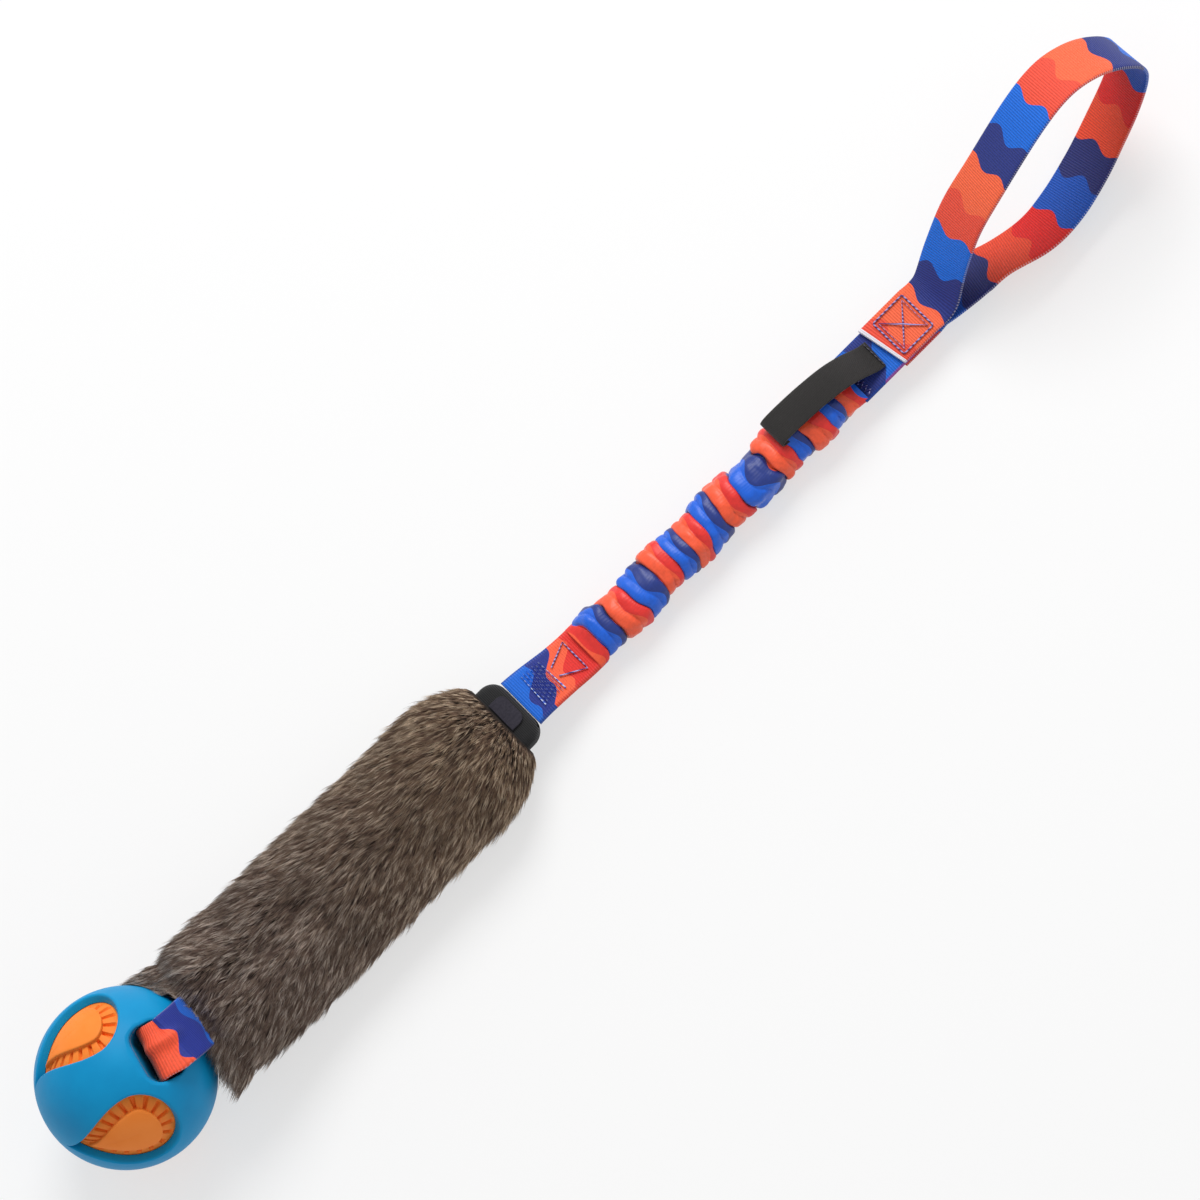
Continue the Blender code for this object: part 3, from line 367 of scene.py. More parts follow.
elasticBraid = wovenTape("braidedWhiteElastic", "#B9B4A6", "#E8E4D8", 0.0014, 1, 0.7)
darkThread = sewingThread("purplePolyesterThread", "#33246F", "#A29FD8")
lightThread = sewingThread("blueAndWhitePolyesterThread", "#2D5FD0", "#C9D6F2")
blackThread = sewingThread("blackPolyesterThread", "#0D0B12", "#2A2536")
tongueFelt = mattedCloth("charcoalCutFelt", "#1B1A22", "#45424C", 1 / 900)
hideSkin = mattedCloth("tannedHide", "#1C1714", "#3A3029", 1 / 700)
underHair = furHair("furUndercoat", "#372C26", "#705C4F", "#8C7564", "#D9C2AA")
guardHair = furHair("furGuardHair", "#3B302A", "#745E51", "#806A5B", "#FFEDD9")
print("materials ready")


# Mesh helpers
def finishPiece(name, mesh, material, smooth=True):
    mesh.name = name
    mesh.materials.clear()
    mesh.materials.append(material)
    if smooth:
        mesh.shade_smooth()
    piece = bpy.data.objects.new(name, mesh)
    scene.collection.objects.link(piece)
    return piece


def meshFrom(shape, name="mesh"):
    mesh = bpy.data.meshes.new(name)
    shape.to_mesh(mesh)
    shape.free()
    return mesh


def smoothPath(points, steps):
    # a Catmull-Rom curve through points of any dimension
    padded = [points[0], *points, points[-1]]
    path = []
    for a, b, c, d in zip(padded, padded[1:], padded[2:], padded[3:]):
        for step in range(steps):
            t = step / steps
            path.append([(2 * q + (r - p) * t + (2 * p - 5 * q + 4 * r - s) * t * t
                          + (3 * q - p - 3 * r + s) * t ** 3) / 2
                         for p, q, r, s in zip(a, b, c, d)])
    path.append(list(points[-1]))
    return path


def evenPath(points, gap):
    # the same path with its points about one gap apart; the first three numbers are the place
    lengths = [0]
    for a, b in zip(points, points[1:]):
        lengths.append(lengths[-1] + (Vector(b[:3]) - Vector(a[:3])).length)
    count = max(2, round(lengths[-1] / gap))
    table = np.array(points)
    places = np.linspace(0, lengths[-1], count + 1)
    return [list(row) for row in np.stack([np.interp(places, lengths, table[:, k])
                                           for k in range(table.shape[1])], axis=1)]


def loft(name, rings, cloth, material, capped=True, **marks):
    # skins rings of points: a grid whose points are placed ring by ring, joined into a tube
    columns = len(rings[0])
    shape = bmesh.new()
    bmesh.ops.create_grid(shape, x_segments=columns, y_segments=len(rings) - 1, size=1)
    shape.verts.ensure_lookup_table()
    clothLayer = shape.loops.layers.uv.new("cloth")
    layers = {mark: shape.verts.layers.float.new(mark) for mark in marks}
    seats = {}
    for index, vertex in enumerate(shape.verts):
        row, column = divmod(index, columns + 1)
        seats[vertex] = (row, column)
        vertex.co = rings[row][column % columns]
        for mark, layer in layers.items():
            vertex[layer] = marks[mark][row][column % columns]
    for face in shape.faces:
        for corner in face.loops:
            row, column = seats[corner.vert]
            corner[clothLayer].uv = cloth(row, column)
    bmesh.ops.remove_doubles(shape, verts=shape.verts, dist=1e-6)
    if capped:
        rims = [edge for edge in shape.edges if edge.is_boundary]
        bmesh.ops.holes_fill(shape, edges=rims)
    bmesh.ops.recalc_face_normals(shape, faces=shape.faces)
    return finishPiece(name, meshFrom(shape, name), material)


def stripSection(width, thickness, count=12):
    # a strap's section: across, up and whether it is the back, with rounded selvedges
    radius = thickness / 2
    flat = width / 2 - radius
    section = [(-flat + 2 * flat * i / count, radius, 0) for i in range(count + 1)]
    section += [(flat + radius * sin(a), radius * cos(a), 0.5) for a in (pi / 4, pi / 2, 3 * pi / 4)]
    section += [(flat - 2 * flat * i / count, -radius, 1) for i in range(count + 1)]
    section += [(-flat - radius * sin(a), radius * cos(a), 0.5) for a in (3 * pi / 4, pi / 2, pi / 4)]
    return section


def ribbon(name, stations, width, thickness, material, along=0.0, dip=None, count=12):
    # a strap along stations of place and sideways direction, its cloth map in metres
    section = stripSection(width, thickness, count)
    centres = [Vector(place) for place, _ in stations]
    lengths = [along]
    for a, b in zip(centres, centres[1:]):
        lengths.append(lengths[-1] + (b - a).length)
    rings = []
    for i, (_, across) in enumerate(stations):
        tangent = (centres[min(i + 1, len(centres) - 1)] - centres[max(i - 1, 0)]).normalized()
        across = Vector(across)
        across = (across - tangent * across.dot(tangent)).normalized()
        up = tangent.cross(across)
        ring = []
        for y, z, _ in section:
            lift = dip(i, y) if dip else 0
            ring.append(centres[i] + across * y + up * (z + lift))
        rings.append(ring)
    columns = len(section)
    return loft(name, rings, lambda row, column: (section[column % columns][0], lengths[row]), material,
                back=[[part[2] for part in section]] * len(rings))


def cutWith(piece, cutter, operation='DIFFERENCE'):
    # applies a boolean cut and drops the cutter
    step = piece.modifiers.new("cut", 'BOOLEAN')
    step.operation = operation
    step.solver = 'EXACT'
    step.material_mode = 'TRANSFER'
    step.object = cutter
    mesh = bpy.data.meshes.new_from_object(piece.evaluated_get(bpy.context.evaluated_depsgraph_get()))
    old = piece.data
    piece.modifiers.clear()
    piece.data = mesh
    bpy.data.meshes.remove(old)
    bpy.data.objects.remove(cutter)


def nodeEdge(node, axis, side):
    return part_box(node)[side][axis]


# The ball: a blue shell with four egg-shaped windows over an orange core
ball = dict(radius=0.039, shellWall=0.0038, gap=0.0003, islandDrop=0.0022, yaw=15, roll=10,
            windowFront=1.05, windowLap=0.0016, windowBehind=0.0016, islandShares=(0.724, 0.5, 0.61),
            eggTip=1.5, edgeRound=0.0011, islandRound=0.0009, slots=20, slotWidth=0.0015,
            slotDepth=0.0021, slotReach=(-0.16, 0.86), slotEnds=(0.05, 0.07), slotFade=0.35, slotLine=0.3,
            slotProfile=((-1.9, 0), (-1.35, 0.04), (-1, 0.5), (-0.6, 0.97), (0, 1), (0.6, 0.97), (1, 0.5),
                         (1.35, 0.04), (1.9, 0)),
            tunnelStart=0.013, tunnelLength=0.016, tunnelWidth=0.0259, tunnelCorner=0.0062,
            tunnelRound=0.0017, tunnelTop=0.006, edgeStep=0.0008, islandFoot=0.0004,
            insideRings=(1, 0.6, 0.3, 0.1, 0),
            outsideRings=(0.03, 0.07, 0.13, 0.2, 0.28, 0.37, 0.46, 0.56, 0.67, 0.78, 0.89, 1),
            islandRings=(0.25, 0.5, 0.72, 0.86), islandReach=0.4, hiddenRings=(0.15, 0.4, 0.7, 1),
            floorRings=(0.015, 0.05, 0.12, 0.3, 0.5, 0.66, 0.73, 0.77, 0.8, 0.84, 0.92, 1.0))
coreRadius = ball["radius"] - ball["shellWall"] - ball["gap"]
islandRadius = ball["radius"] - ball["islandDrop"]
windowEgg = (ball["windowFront"], asin((ball["tunnelStart"] + ball["windowBehind"]) / ball["radius"]),
             pi / 4 - asin((ball["tunnelWidth"] / 2 - ball["windowLap"]) / ball["radius"]))
islandEgg = [size * share for size, share in zip(windowEgg, ball["islandShares"])]
ballCentre = Vector((nodeEdge("ball_shell", 0, 0) + ball["radius"], 0, ball["radius"]))
ballFrame = (Matrix.Translation(ballCentre) @ Matrix.Rotation(radians(ball["roll"]), 4, 'X')
             @ Matrix.Rotation(-radians(ball["yaw"]), 4, 'Z'))


def eggPoint(turn, egg):
    # how far along and aside the window's outline lies, in radians on the ball
    front, behind, side = egg
    if cos(turn) < 0:
        return behind * cos(turn), side * sin(turn)
    aside = side * cos(pi / 2 * cos(turn)) ** ball["eggTip"]
    return front * cos(turn), aside if sin(turn) >= 0 else -aside


def ballDirection(window, bearing, reach):
    spin = pi / 4 + window * pi / 2
    centre = Vector((0, sin(spin), cos(spin)))
    aside = Vector((0, cos(spin), -sin(spin)))
    heading = Vector((-1, 0, 0)) * cos(bearing) + aside * sin(bearing)
    return centre * cos(reach) + heading * sin(reach)


def slotTurns():
    # turns round the egg, close together at each slot's walls, evenly spaced along its edge
    samples = 720
    turns = [2 * pi * i / samples for i in range(samples + 1)]
    middle = []
    for turn in turns:
        inner, outer = eggPoint(turn, islandEgg), eggPoint(turn, windowEgg)
        middle.append([a + (b - a) * ball["slotLine"] for a, b in zip(inner, outer)])
    lengths = [0]
    for a, b in zip(middle, middle[1:]):
        lengths.append(lengths[-1] + hypot(b[0] - a[0], b[1] - a[1]))
    pitch = lengths[-1] / ball["slots"]
    half = ball["slotWidth"] / 2 / coreRadius
    offsets = [(-pitch / 2, 0)] + [(half * aside, depth) for aside, depth in ball["slotProfile"]]
    chosen = []
    for k in range(ball["slots"]):
        for offset, depth in offsets:
            place = (k * pitch + offset) % lengths[-1]
            chosen.append((float(np.interp(place, lengths, turns)), depth))
    return chosen


def ballSkin(name, rows, material):
    # four fans of rings, one round each window, which meet along the ball's meridians
    turns = slotTurns()
    shape = bmesh.new()
    for window in range(4):
        rings = []
        for row in rows:
            ring = []
            for turn, depth in turns:
                outer, inner = eggPoint(turn, windowEgg), eggPoint(turn, islandEgg)
                bearing = atan2(outer[1], outer[0])
                # the limit is the meridian halfway to the next window
                limit = pi / 2 if abs(sin(bearing)) < 1e-9 else atan(1 / abs(sin(bearing)))
                reaches = dict(window=hypot(*outer), island=hypot(*inner), limit=limit, bearing=bearing,
                               islandBearing=atan2(inner[1], inner[0]), depth=depth)
                direction, radius = row(reaches)
                ring.append(ballDirection(window, *direction) * radius)
            rings.append(ring)
        columns = len(turns)
        grid = bmesh.new()
        bmesh.ops.create_grid(grid, x_segments=columns, y_segments=len(rings) - 1, size=1)
        grid.verts.ensure_lookup_table()
        for index, vertex in enumerate(grid.verts):
            ring, column = divmod(index, columns + 1)
            vertex.co = rings[ring][column % columns]
        part = meshFrom(grid)
        shape.from_mesh(part)
        bpy.data.meshes.remove(part)
    bmesh.ops.remove_doubles(shape, verts=shape.verts, dist=2e-6)
    bmesh.ops.dissolve_degenerate(shape, edges=shape.edges, dist=1e-6)
    rims = [edge for edge in shape.edges if edge.is_boundary]
    if rims:
        bmesh.ops.holes_fill(shape, edges=rims)
    bmesh.ops.transform(shape, matrix=ballFrame, verts=shape.verts)
    bmesh.ops.recalc_face_normals(shape, faces=shape.faces)
    return finishPiece(name, meshFrom(shape, name), material)


def tunnelCutter():
    # the tether's hole: a rounded slot whose mouths flare where they meet the ball's face
    outline = []
    insetX = ball["tunnelLength"] / 2 - ball["tunnelCorner"]
    insetY = ball["tunnelWidth"] / 2 - ball["tunnelCorner"]
    middle = ball["tunnelStart"] + ball["tunnelLength"] / 2
    for quarter, (sx, sy) in enumerate(((1, 1), (-1, 1), (-1, -1), (1, -1))):
        for step in range(10):
            turn = (quarter + step / 9) * pi / 2
            outline.append((middle + sx * insetX, sy * insetY, cos(turn), sin(turn)))
    rounding = ball["tunnelRound"]
    levels = [(0, -rounding)]
    levels += [(rounding * (1 - cos(a)), -rounding * (1 - sin(a))) for a in
               (pi / 12, pi / 6, pi / 4, pi / 3, 5 * pi / 12)]
    levels += [(rounding * 1.9, rounding * 0.9), (rounding * 1.9, ball["tunnelTop"])]
    rings = []
    for side in (-1, 1):
        part = []
        for wider, above in levels:
            ring = []
            for x, y, nx, ny in outline:
                px = x + nx * (ball["tunnelCorner"] + wider)
                py = y + ny * (ball["tunnelCorner"] + wider)
                height = sqrt(max(0.0001, ball["radius"] ** 2 - px ** 2 - py ** 2))
                ring.append(ballFrame @ Vector((px, py, side * (height + above))))
            part.append(ring)
        rings += part[::-1] if side < 0 else part
    return loft("tunnel", rings, lambda row, column: (0, 0), shellRubber)


def outward(share, at, start=0.0):
    # a ring a share of the way from the window's edge to where the fans meet, at a radius
    def place(r):
        first = r["window"] + start
        return (r["bearing"], first + (r["limit"] - first) * share), at
    return place


def shellRings():
    radius, rounding = ball["radius"], ball["edgeRound"]
    inner = coreRadius + ball["gap"]

    def onEdge(angle):
        away = rounding * (1 - cos(angle)) / radius
        return lambda r: ((r["bearing"], r["window"] + away), radius - rounding * (1 - sin(angle)))
    rings = [outward(share, inner) for share in ball["insideRings"]]
    rings += [outward(0, inner + ball["edgeStep"])]
    rings += [onEdge(pi / 2 * i / 6) for i in range(7)]
    rings += [outward(share, radius, rounding / radius) for share in ball["outsideRings"]]
    return rings


def coreRings():
    rimRound, deep = ball["islandRound"], ball["slotDepth"]
    low, high = ball["slotReach"]
    lowEnd, highEnd = ball["slotEnds"]

    def onIsland(share, at, depthShare=0.0):
        def place(r):
            return (r["islandBearing"], r["island"] * share), at - deep * r["depth"] * depthShare
        return place

    def onFloor(share):
        # slots start a little inside the island's rim and stop short of the window's edge
        ease = max(0.0, min(1.0, (share - low) / lowEnd, (high - share) / highEnd))

        def place(r):
            a = Vector((r["island"] * cos(r["islandBearing"]), r["island"] * sin(r["islandBearing"])))
            b = Vector((r["window"] * cos(r["bearing"]), r["window"] * sin(r["bearing"])))
            point = a.lerp(b, share)
            depth = deep * r["depth"] * sqrt(ease) * (1 - ball["slotFade"] * max(0, share))
            return (atan2(point.y, point.x), point.length), coreRadius - depth
        return place
    rings = [lambda r: ((0.0, 0.0), islandRadius)]
    rings += [onIsland(share, islandRadius) for share in ball["islandRings"]]
    for i in range(5):
        angle = pi / 2 * i / 4
        inward = (1 - sin(angle)) * rimRound / (ball["islandReach"] * ball["radius"])
        rings.append(onIsland(1 - inward, islandRadius - rimRound * (1 - cos(angle))))
    rings += [onIsland(1.0, coreRadius + ball["islandFoot"], 0.5)]
    rings += [onFloor(share) for share in ball["floorRings"]]
    rings += [outward(share, coreRadius) for share in ball["hiddenRings"]]
    return rings


def makeBall():
    for name, rings, material, node, slot in (
            ("ballShell", shellRings(), shellRubber, "ball_shell", "shell_rubber"),
            ("ballCore", coreRings(), coreRubber, "ball_core", "core_rubber")):
        piece = ballSkin(name, rings, material)
        cutWith(piece, tunnelCutter())
        piece.data.set_sharp_from_angle(angle=radians(50))
        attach(piece, "ball_body")
        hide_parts(node)
    print("ball ready")


# Webbing tether: over the ball's back, down its hole and back under it
tether = dict(width=0.025, thickness=0.0019, standoff=0.0011, planThickness=0.002, gap=0.0003,
              mouth=(-0.23625, -0.004, 0.033),
              over=((4, 0.85, 0.90), (13, 0.72, 0.70), (23, 0.52, 0.50), (33, 0.30, 0.30), (43, 0.10, 0.10)),
              under=((-20, 0.80, 0.80), (-28, 0.58, 0.60), (-36, 0.32, 0.35), (-44, 0.10, 0.10)),
              hole=((0.90, 0.745), (0.64, 0.775), (0.38, 0.745), (0.23, 0.60), (0.18, 0.36), (0.18, 0)),
              crease=0.0030, creasePlace=0.42, creaseReach=0.2, creaseSide=0.002, creaseWidth=0.0028,
              step=0.0009)


def makeTether():
    away = ball["radius"] + tether["standoff"] + tether["planThickness"] / 2
    ply = (tether["planThickness"] + tether["gap"]) / 2
    mouth = Vector(tether["mouth"])
    backY = (ballFrame.to_3x3().inverted() @ (mouth - ballCentre)).y
    inner = [(ball["tunnelStart"] + ball["tunnelLength"] * x, 0, ball["radius"] * z, 0)
             for x, z in tether["hole"]]
    over, under = [[(away * cos(radians(lift)), backY * aside, away * sin(radians(lift)), turn)
                    for lift, aside, turn in tether[key]] for key in ("over", "under")]
    route = over + inner + [(x, y, -z, turn) for x, y, z, turn in inner[-2::-1]] + under[::-1]
    placed = [(*(ballFrame @ Vector((x, y, z))), ball["yaw"] * (turn - 1)) for x, y, z, turn in route]
    placed = [(*(mouth + Vector((0, 0, ply))), 0), *placed, (*(mouth - Vector((0, 0, ply))), 0)]
    stations = [((x, y, z), (-sin(radians(yaw)), cos(radians(yaw)), 0))
                for x, y, z, yaw in evenPath(smoothPath(placed, 10), tether["step"])]
    middle = (len(stations) - 1) / 2

    def crease(i, y):
        # the strap folds along its middle where it squeezes into the hole
        near = max(0, 1 - abs(abs(i - middle) / middle - tether["creasePlace"]) / tether["creaseReach"])
        aside = (y - tether["creaseSide"]) / tether["creaseWidth"]
        return -tether["crease"] * exp(-aside ** 2) * near * near * (3 - 2 * near)
    strap = ribbon("tetherStrap", stations, tether["width"], tether["thickness"], tetherWebbing,
                   dip=crease, count=20)
    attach(strap, "tether_body")
    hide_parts("ball_tether")
    print("tether ready")


# Fur sleeve: a padded hide, its form given at shares of its length as width, height, lift and sway
pelt = dict(length=0.1735, width=0.062, height=0.038, level=0.0185, mouthLevel=0.033, mouthSway=0.004,
            valleyDepth=0.004, valleyWidth=0.007, valleyReach=0.625, roundness=0.9, fill=0.6, flare=0.03,
            columns=96, rings=90, sink=0.0004, lip=((0.010, 0.012), (0.004, 0.0065), (0.001, 0.0025)),
            form=((0, 0.94, 0.90, 1, 1), (0.04, 1, 0.96, 0.96, 0.9), (0.12, 1, 1, 0.62, 0.6),
                  (0.22, 1, 1, 0.22, 0.3), (0.34, 1, 1, 0, 0), (0.50, 0.98, 1, 0, 0),
                  (0.66, 0.96, 1, 0, 0), (0.80, 0.97, 1, 0, 0), (0.88, 0.95, 0.98, 0, 0),
                  (0.93, 0.87, 0.90, 0, 0), (0.97, 0.75, 0.72, 0, 0), (1, 0.64, 0.48, 0, 0)))
peltStart = nodeEdge("pelt_sleeve", 0, 0)


def peltTable():
    # the form at even steps: share, half width, half height, level and sway
    rows = np.array(smoothPath(pelt["form"], 12))
    shares = np.linspace(0, 1, 241)
    columns = [np.interp(shares, rows[:, 0], rows[:, k]) for k in range(5)]
    level = pelt["level"] + (pelt["mouthLevel"] - pelt["level"]) * columns[3]
    sway = -pelt["mouthSway"] * columns[4]
    return shares, pelt["width"] / 2 * columns[1], pelt["height"] / 2 * columns[2], level, sway


peltShares, peltWidths, peltHeights, peltLevels, peltSways = peltTable()


def peltPoints(share, turn, proud=0.0):
    # points of the hide at shares of its length and turns round it (arrays)
    wide, high, level, sway = [np.interp(share, peltShares, part)
                               for part in (peltWidths, peltHeights, peltLevels, peltSways)]
    wide = wide + pelt["flare"] * np.maximum(0, -share)
    cosine, sine = np.cos(turn), np.sin(turn)
    y = (wide + proud) * np.sign(cosine) * np.abs(cosine) ** pelt["roundness"]
    z = (high + proud) * np.sign(sine) * np.abs(sine) ** pelt["roundness"]
    depth = pelt["valleyDepth"] * np.clip(1 - share / pelt["valleyReach"], 0, 1)
    z = np.where(z > 0, z - depth * np.exp(-(y / pelt["valleyWidth"]) ** 2), z)
    x = peltStart + pelt["length"] * share
    return np.stack([x, sway + y, np.maximum(0, level + z)], axis=-1)


def makeHide():
    # the hide: a lip that turns in at the ball's end, then the outer skin as far as the collar
    columns = pelt["columns"]
    turns = np.array([2 * pi * (i + 0.5) / columns for i in range(columns)])
    rings = []
    for depth, shrink in pelt["lip"]:
        points = peltPoints(np.zeros(columns), turns, -shrink)
        rings.append([Vector(point) + Vector((depth, 0, 0)) for point in points])
    for share in np.linspace(0, 1, pelt["rings"]):
        points = peltPoints(np.full(columns, share), turns, -pelt["sink"])
        rings.append([Vector(point) for point in points])
    hide = loft("furHide", rings, lambda row, column: (column, row), hideSkin)
    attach(hide, "fur_body")
    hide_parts("pelt_sleeve")
    print("hide ready")


# Hair: locks whose tips draw together, combed from the collar towards the ball; a hair is drawn thicker
# than a real one, so that this many cover the hide
hair = dict(seed=7, undercoat=59000, guard=56000, lockSize=4, lockSpread=0.0005, draw=0.85,
            length=(0.0060, 0.0095), guardLength=(0.0075, 0.0115), radius=0.00013, guardRadius=0.00011,
            lift=0.27, fan=0.42, floor=0.0003, pieceHairs=(17000, 11000), overhang=(0.014, 0.056, 0.008),
            mouthShare=0.24, mouthPlace=0.01, mouthDepth=0.017, underside=-0.55, undersideShare=0.35,
            girth=0.025, tail=0.86, tailShort=0.45, contrast=4, darkShare=1.65, thinning=0.55,
            overBall=0.0006, overTether=0.0033, tetherMiddle=-0.006, tetherReach=0.016, clearance=0.0001,
            bendPlace=0.42, bendLift=0.85, bendPull=0.4, tipPlace=0.97, droop=0.06, stray=(0.3, 0.16, 0.07))


def unit(vectors):
    return vectors / np.maximum(1e-12, np.linalg.norm(vectors, axis=1, keepdims=True))


def hairMesh(count, rings):
    # copies of one three-sided spike in a row, ready to be placed
    shape = bmesh.new()
    bmesh.ops.create_circle(shape, cap_ends=True, segments=3, radius=1)
    face = shape.faces[:]
    for _ in range(rings):
        grown = bmesh.ops.extrude_face_region(shape, geom=face)
        face = [part for part in grown["geom"] if isinstance(part, bmesh.types.BMFace)]
        tops = [part for part in grown["geom"] if isinstance(part, bmesh.types.BMVert)]
        bmesh.ops.translate(shape, vec=(0, 0, 1), verts=tops)
    bmesh.ops.pointmerge(shape, verts=tops, merge_co=(0, 0, rings))
    shape.verts.ensure_lookup_table()
    bmesh.ops.recalc_face_normals(shape, faces=shape.faces)
    seats = [(round(v.co.z), atan2(v.co.y, v.co.x)) for v in shape.verts]
    single = bpy.data.objects.new("spike", meshFrom(shape))
    scene.collection.objects.link(single)
    row = single.modifiers.new("row", 'ARRAY')
    row.count = count
    row.use_merge_vertices = False
    mesh = bpy.data.meshes.new_from_object(single.evaluated_get(bpy.context.evaluated_depsgraph_get()))
    bpy.data.objects.remove(single)
    return mesh, seats


def combHair(count, lengthRange, rng):
    # root, bend, tip and tone of every hair, as arrays
    locks = count // hair["lockSize"] + 1
    least, sides, lean = hair["overhang"]
    share = rng.uniform(-least - sides - lean, 1, locks * 3)
    atMouth = rng.uniform(0, 1, locks * 3) < hair["mouthShare"]
    share[atMouth] = rng.uniform(-least - sides - lean, hair["mouthPlace"], int(atMouth.sum()))
    turn = rng.uniform(0, 2 * pi, locks * 3)
    under = np.sin(turn) < hair["underside"]      # few hairs show where the sleeve lies on the floor
    keep = ~under | (rng.uniform(0, 1, locks * 3) < hair["undersideShare"])
    # the fur's mouth reaches furthest over the ball at its two sides
    keep &= share > -least - sides * np.abs(np.cos(turn)) ** 1.5 - lean * np.cos(turn)
    share, turn = share[keep][:locks], turn[keep][:locks]
    depth = np.maximum(0, rng.uniform(-0.7, 1, locks))
    sunk = np.where(share < hair["mouthPlace"], -hair["mouthDepth"] * depth, 0)
    size = rng.uniform(*lengthRange, locks)
    tone = rng.uniform(0, 1, locks)
    wander = np.array([noise.noise(Vector((s * 9, t * 2.2, 3))) for s, t in zip(share, turn)])
    swirl = np.array([noise.noise(Vector((s * 16, t * 3.1, 8))) for s, t in zip(share, turn)])
    lock = np.repeat(np.arange(locks), hair["lockSize"])[:count]
    spread = hair["lockSpread"]
    shareAt = share[lock] + rng.normal(0, spread / pelt["length"], count)
    turnAt = turn[lock] + rng.normal(0, spread / hair["girth"], count)
    shareAt = np.minimum(shareAt, 1)
    step = 1e-3
    root = peltPoints(shareAt, turnAt, sunk[lock])
    after, before = [peltPoints(np.minimum(shareAt + way, 1), turnAt) for way in (step, -step)]
    ahead = unit(after - before)
    aside = unit(peltPoints(shareAt, turnAt + step) - peltPoints(shareAt, turnAt - step))
    # out stands square on the hide, away from the sleeve's middle
    out = unit(np.cross(ahead, aside))
    middle = np.stack([root[:, 0], np.interp(shareAt, peltShares, peltSways),
                       np.interp(shareAt, peltShares, peltLevels)], axis=1)
    out *= np.sign((out * (root - middle)).sum(1))[:, None]
    # the hair fans out from the valley along the top to both sides
    sideways = np.cos(turnAt)
    bearing = hair["fan"] * np.tanh(1.6 * sideways) * np.where(np.sin(turnAt) > -0.3, 1, 0.3)
    wandering, lockStray, hairStray = hair["stray"]
    bearing = bearing + wandering * wander[lock] + rng.normal(0, lockStray, locks)[lock]
    bearing = bearing + rng.normal(0, hairStray, count)
    flow = -ahead * np.cos(bearing)[:, None] + np.array([0, 1, 0]) * np.sin(bearing)[:, None]
    flow = unit(flow - out * (flow * out).sum(1)[:, None])
    length = size[lock] * rng.uniform(0.8, 1.15, count)
    tail = np.clip((shareAt - hair["tail"]) / (1 - hair["tail"]), 0, 1)
    length *= 1 - hair["tailShort"] * tail
    lift = hair["lift"] * (1 + 0.5 * swirl[lock]) * rng.uniform(0.6, 1.4, locks)[lock]
    centre = peltPoints(share, turn, sunk)[lock]
    pull = (centre - root) * hair["draw"]
    bend = root + flow * (length * hair["bendPlace"])[:, None] + pull * hair["bendPull"]
    bend += out * (length * lift * hair["bendLift"])[:, None]
    tip = root + flow * length[:, None] * hair["tipPlace"] + out * (length * lift)[:, None] + pull
    tip[:, 2] -= hair["droop"] * length
    shade = tone[lock] * hair["contrast"] - hair["darkShare"] + rng.uniform(-0.15, 0.15, count)
    return root - out * pelt["sink"], bend, tip, np.clip(shade, 0, 1)


def clearOfNeighbours(points):
    # hair lies on the ball and the tether, and never under the floor
    centre = np.array(ballCentre)
    away = points - centre
    distance = np.linalg.norm(away, axis=1)
    nearTether = np.abs(points[:, 1] - hair["tetherMiddle"]) < hair["tetherReach"]
    overTether = nearTether & (points[:, 2] > ballCentre.z)
    least = ball["radius"] + np.where(overTether, hair["overTether"], hair["overBall"])
    push = np.maximum(distance, least) / np.maximum(distance, 1e-9)
    points = centre + away * push[:, None]
    points[:, 2] = np.maximum(points[:, 2], hair["floor"])
    return points


def hairPiece(name, material, rings, radius, a, b, c, spin, shade):
    # one mesh of hairs, each a thin spike along a curve from a past b to c
    mesh, seats = hairMesh(len(a), rings)
    along = unit(c - a)
    side = unit(np.cross(along, np.array([0.0, 0.0, 1.0]) + 1e-3))
    other = np.cross(along, side)
    places = np.zeros((len(a), len(seats), 3))
    reach = np.zeros((len(a), len(seats)))
    for column, (level, angle) in enumerate(seats):
        t = level / rings
        line = clearOfNeighbours(a * (1 - t) ** 2 + b * 2 * t * (1 - t) + c * t ** 2)
        thick = 0 if level == rings else radius * (1 - hair["thinning"] * t)
        turn = (angle + spin)[:, None]
        places[:, column] = line + (side * np.cos(turn) + other * np.sin(turn)) * thick
        reach[:, column] = t
    places[:, :, 2] = np.maximum(places[:, :, 2], hair["clearance"])
    mesh.vertices.foreach_set("co", places.reshape(-1).astype(np.float32))
    tone = np.repeat(shade[:, None], len(seats), 1)
    for mark, values in (("reach", reach), ("tone", tone)):
        layer = mesh.attributes.new(mark, 'FLOAT', 'POINT')
        layer.data.foreach_set("value", values.reshape(-1).astype(np.float32))
    mesh.update()
    return finishPiece(name, mesh, material)


def makeHair():
    rng = np.random.default_rng(hair["seed"])
    kinds = (("furUndercoat", hair["undercoat"], hair["length"], hair["radius"], 2, underHair, 0),
             ("furGuard", hair["guard"], hair["guardLength"], hair["guardRadius"], 3, guardHair, 1))
    for name, count, lengths, radius, rings, material, kind in kinds:
        root, bend, tip, shade = combHair(count, lengths, rng)
        spin = rng.uniform(0, 2 * pi, count)
        order = np.argsort(root[:, 0])
        size = hair["pieceHairs"][kind]
        for part, start in enumerate(range(0, count, size)):
            chosen = order[start:start + size]
            piece = hairPiece(f"{name}{part + 1}", material, rings, radius, root[chosen], bend[chosen],
                              tip[chosen], spin[chosen], shade[chosen])
            if part == 0:
                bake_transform(piece)
            else:
                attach(piece, "fur_body")
    print("hair ready")


# Black collar, folded round the fur's tail
collar = dict(corner=0.008, cornerSegments=8, cornersFrom=0.01, soft=0.0036, segments=6,
              slotHeight=0.0048, slotWidth=0.027, slotLength=0.06)


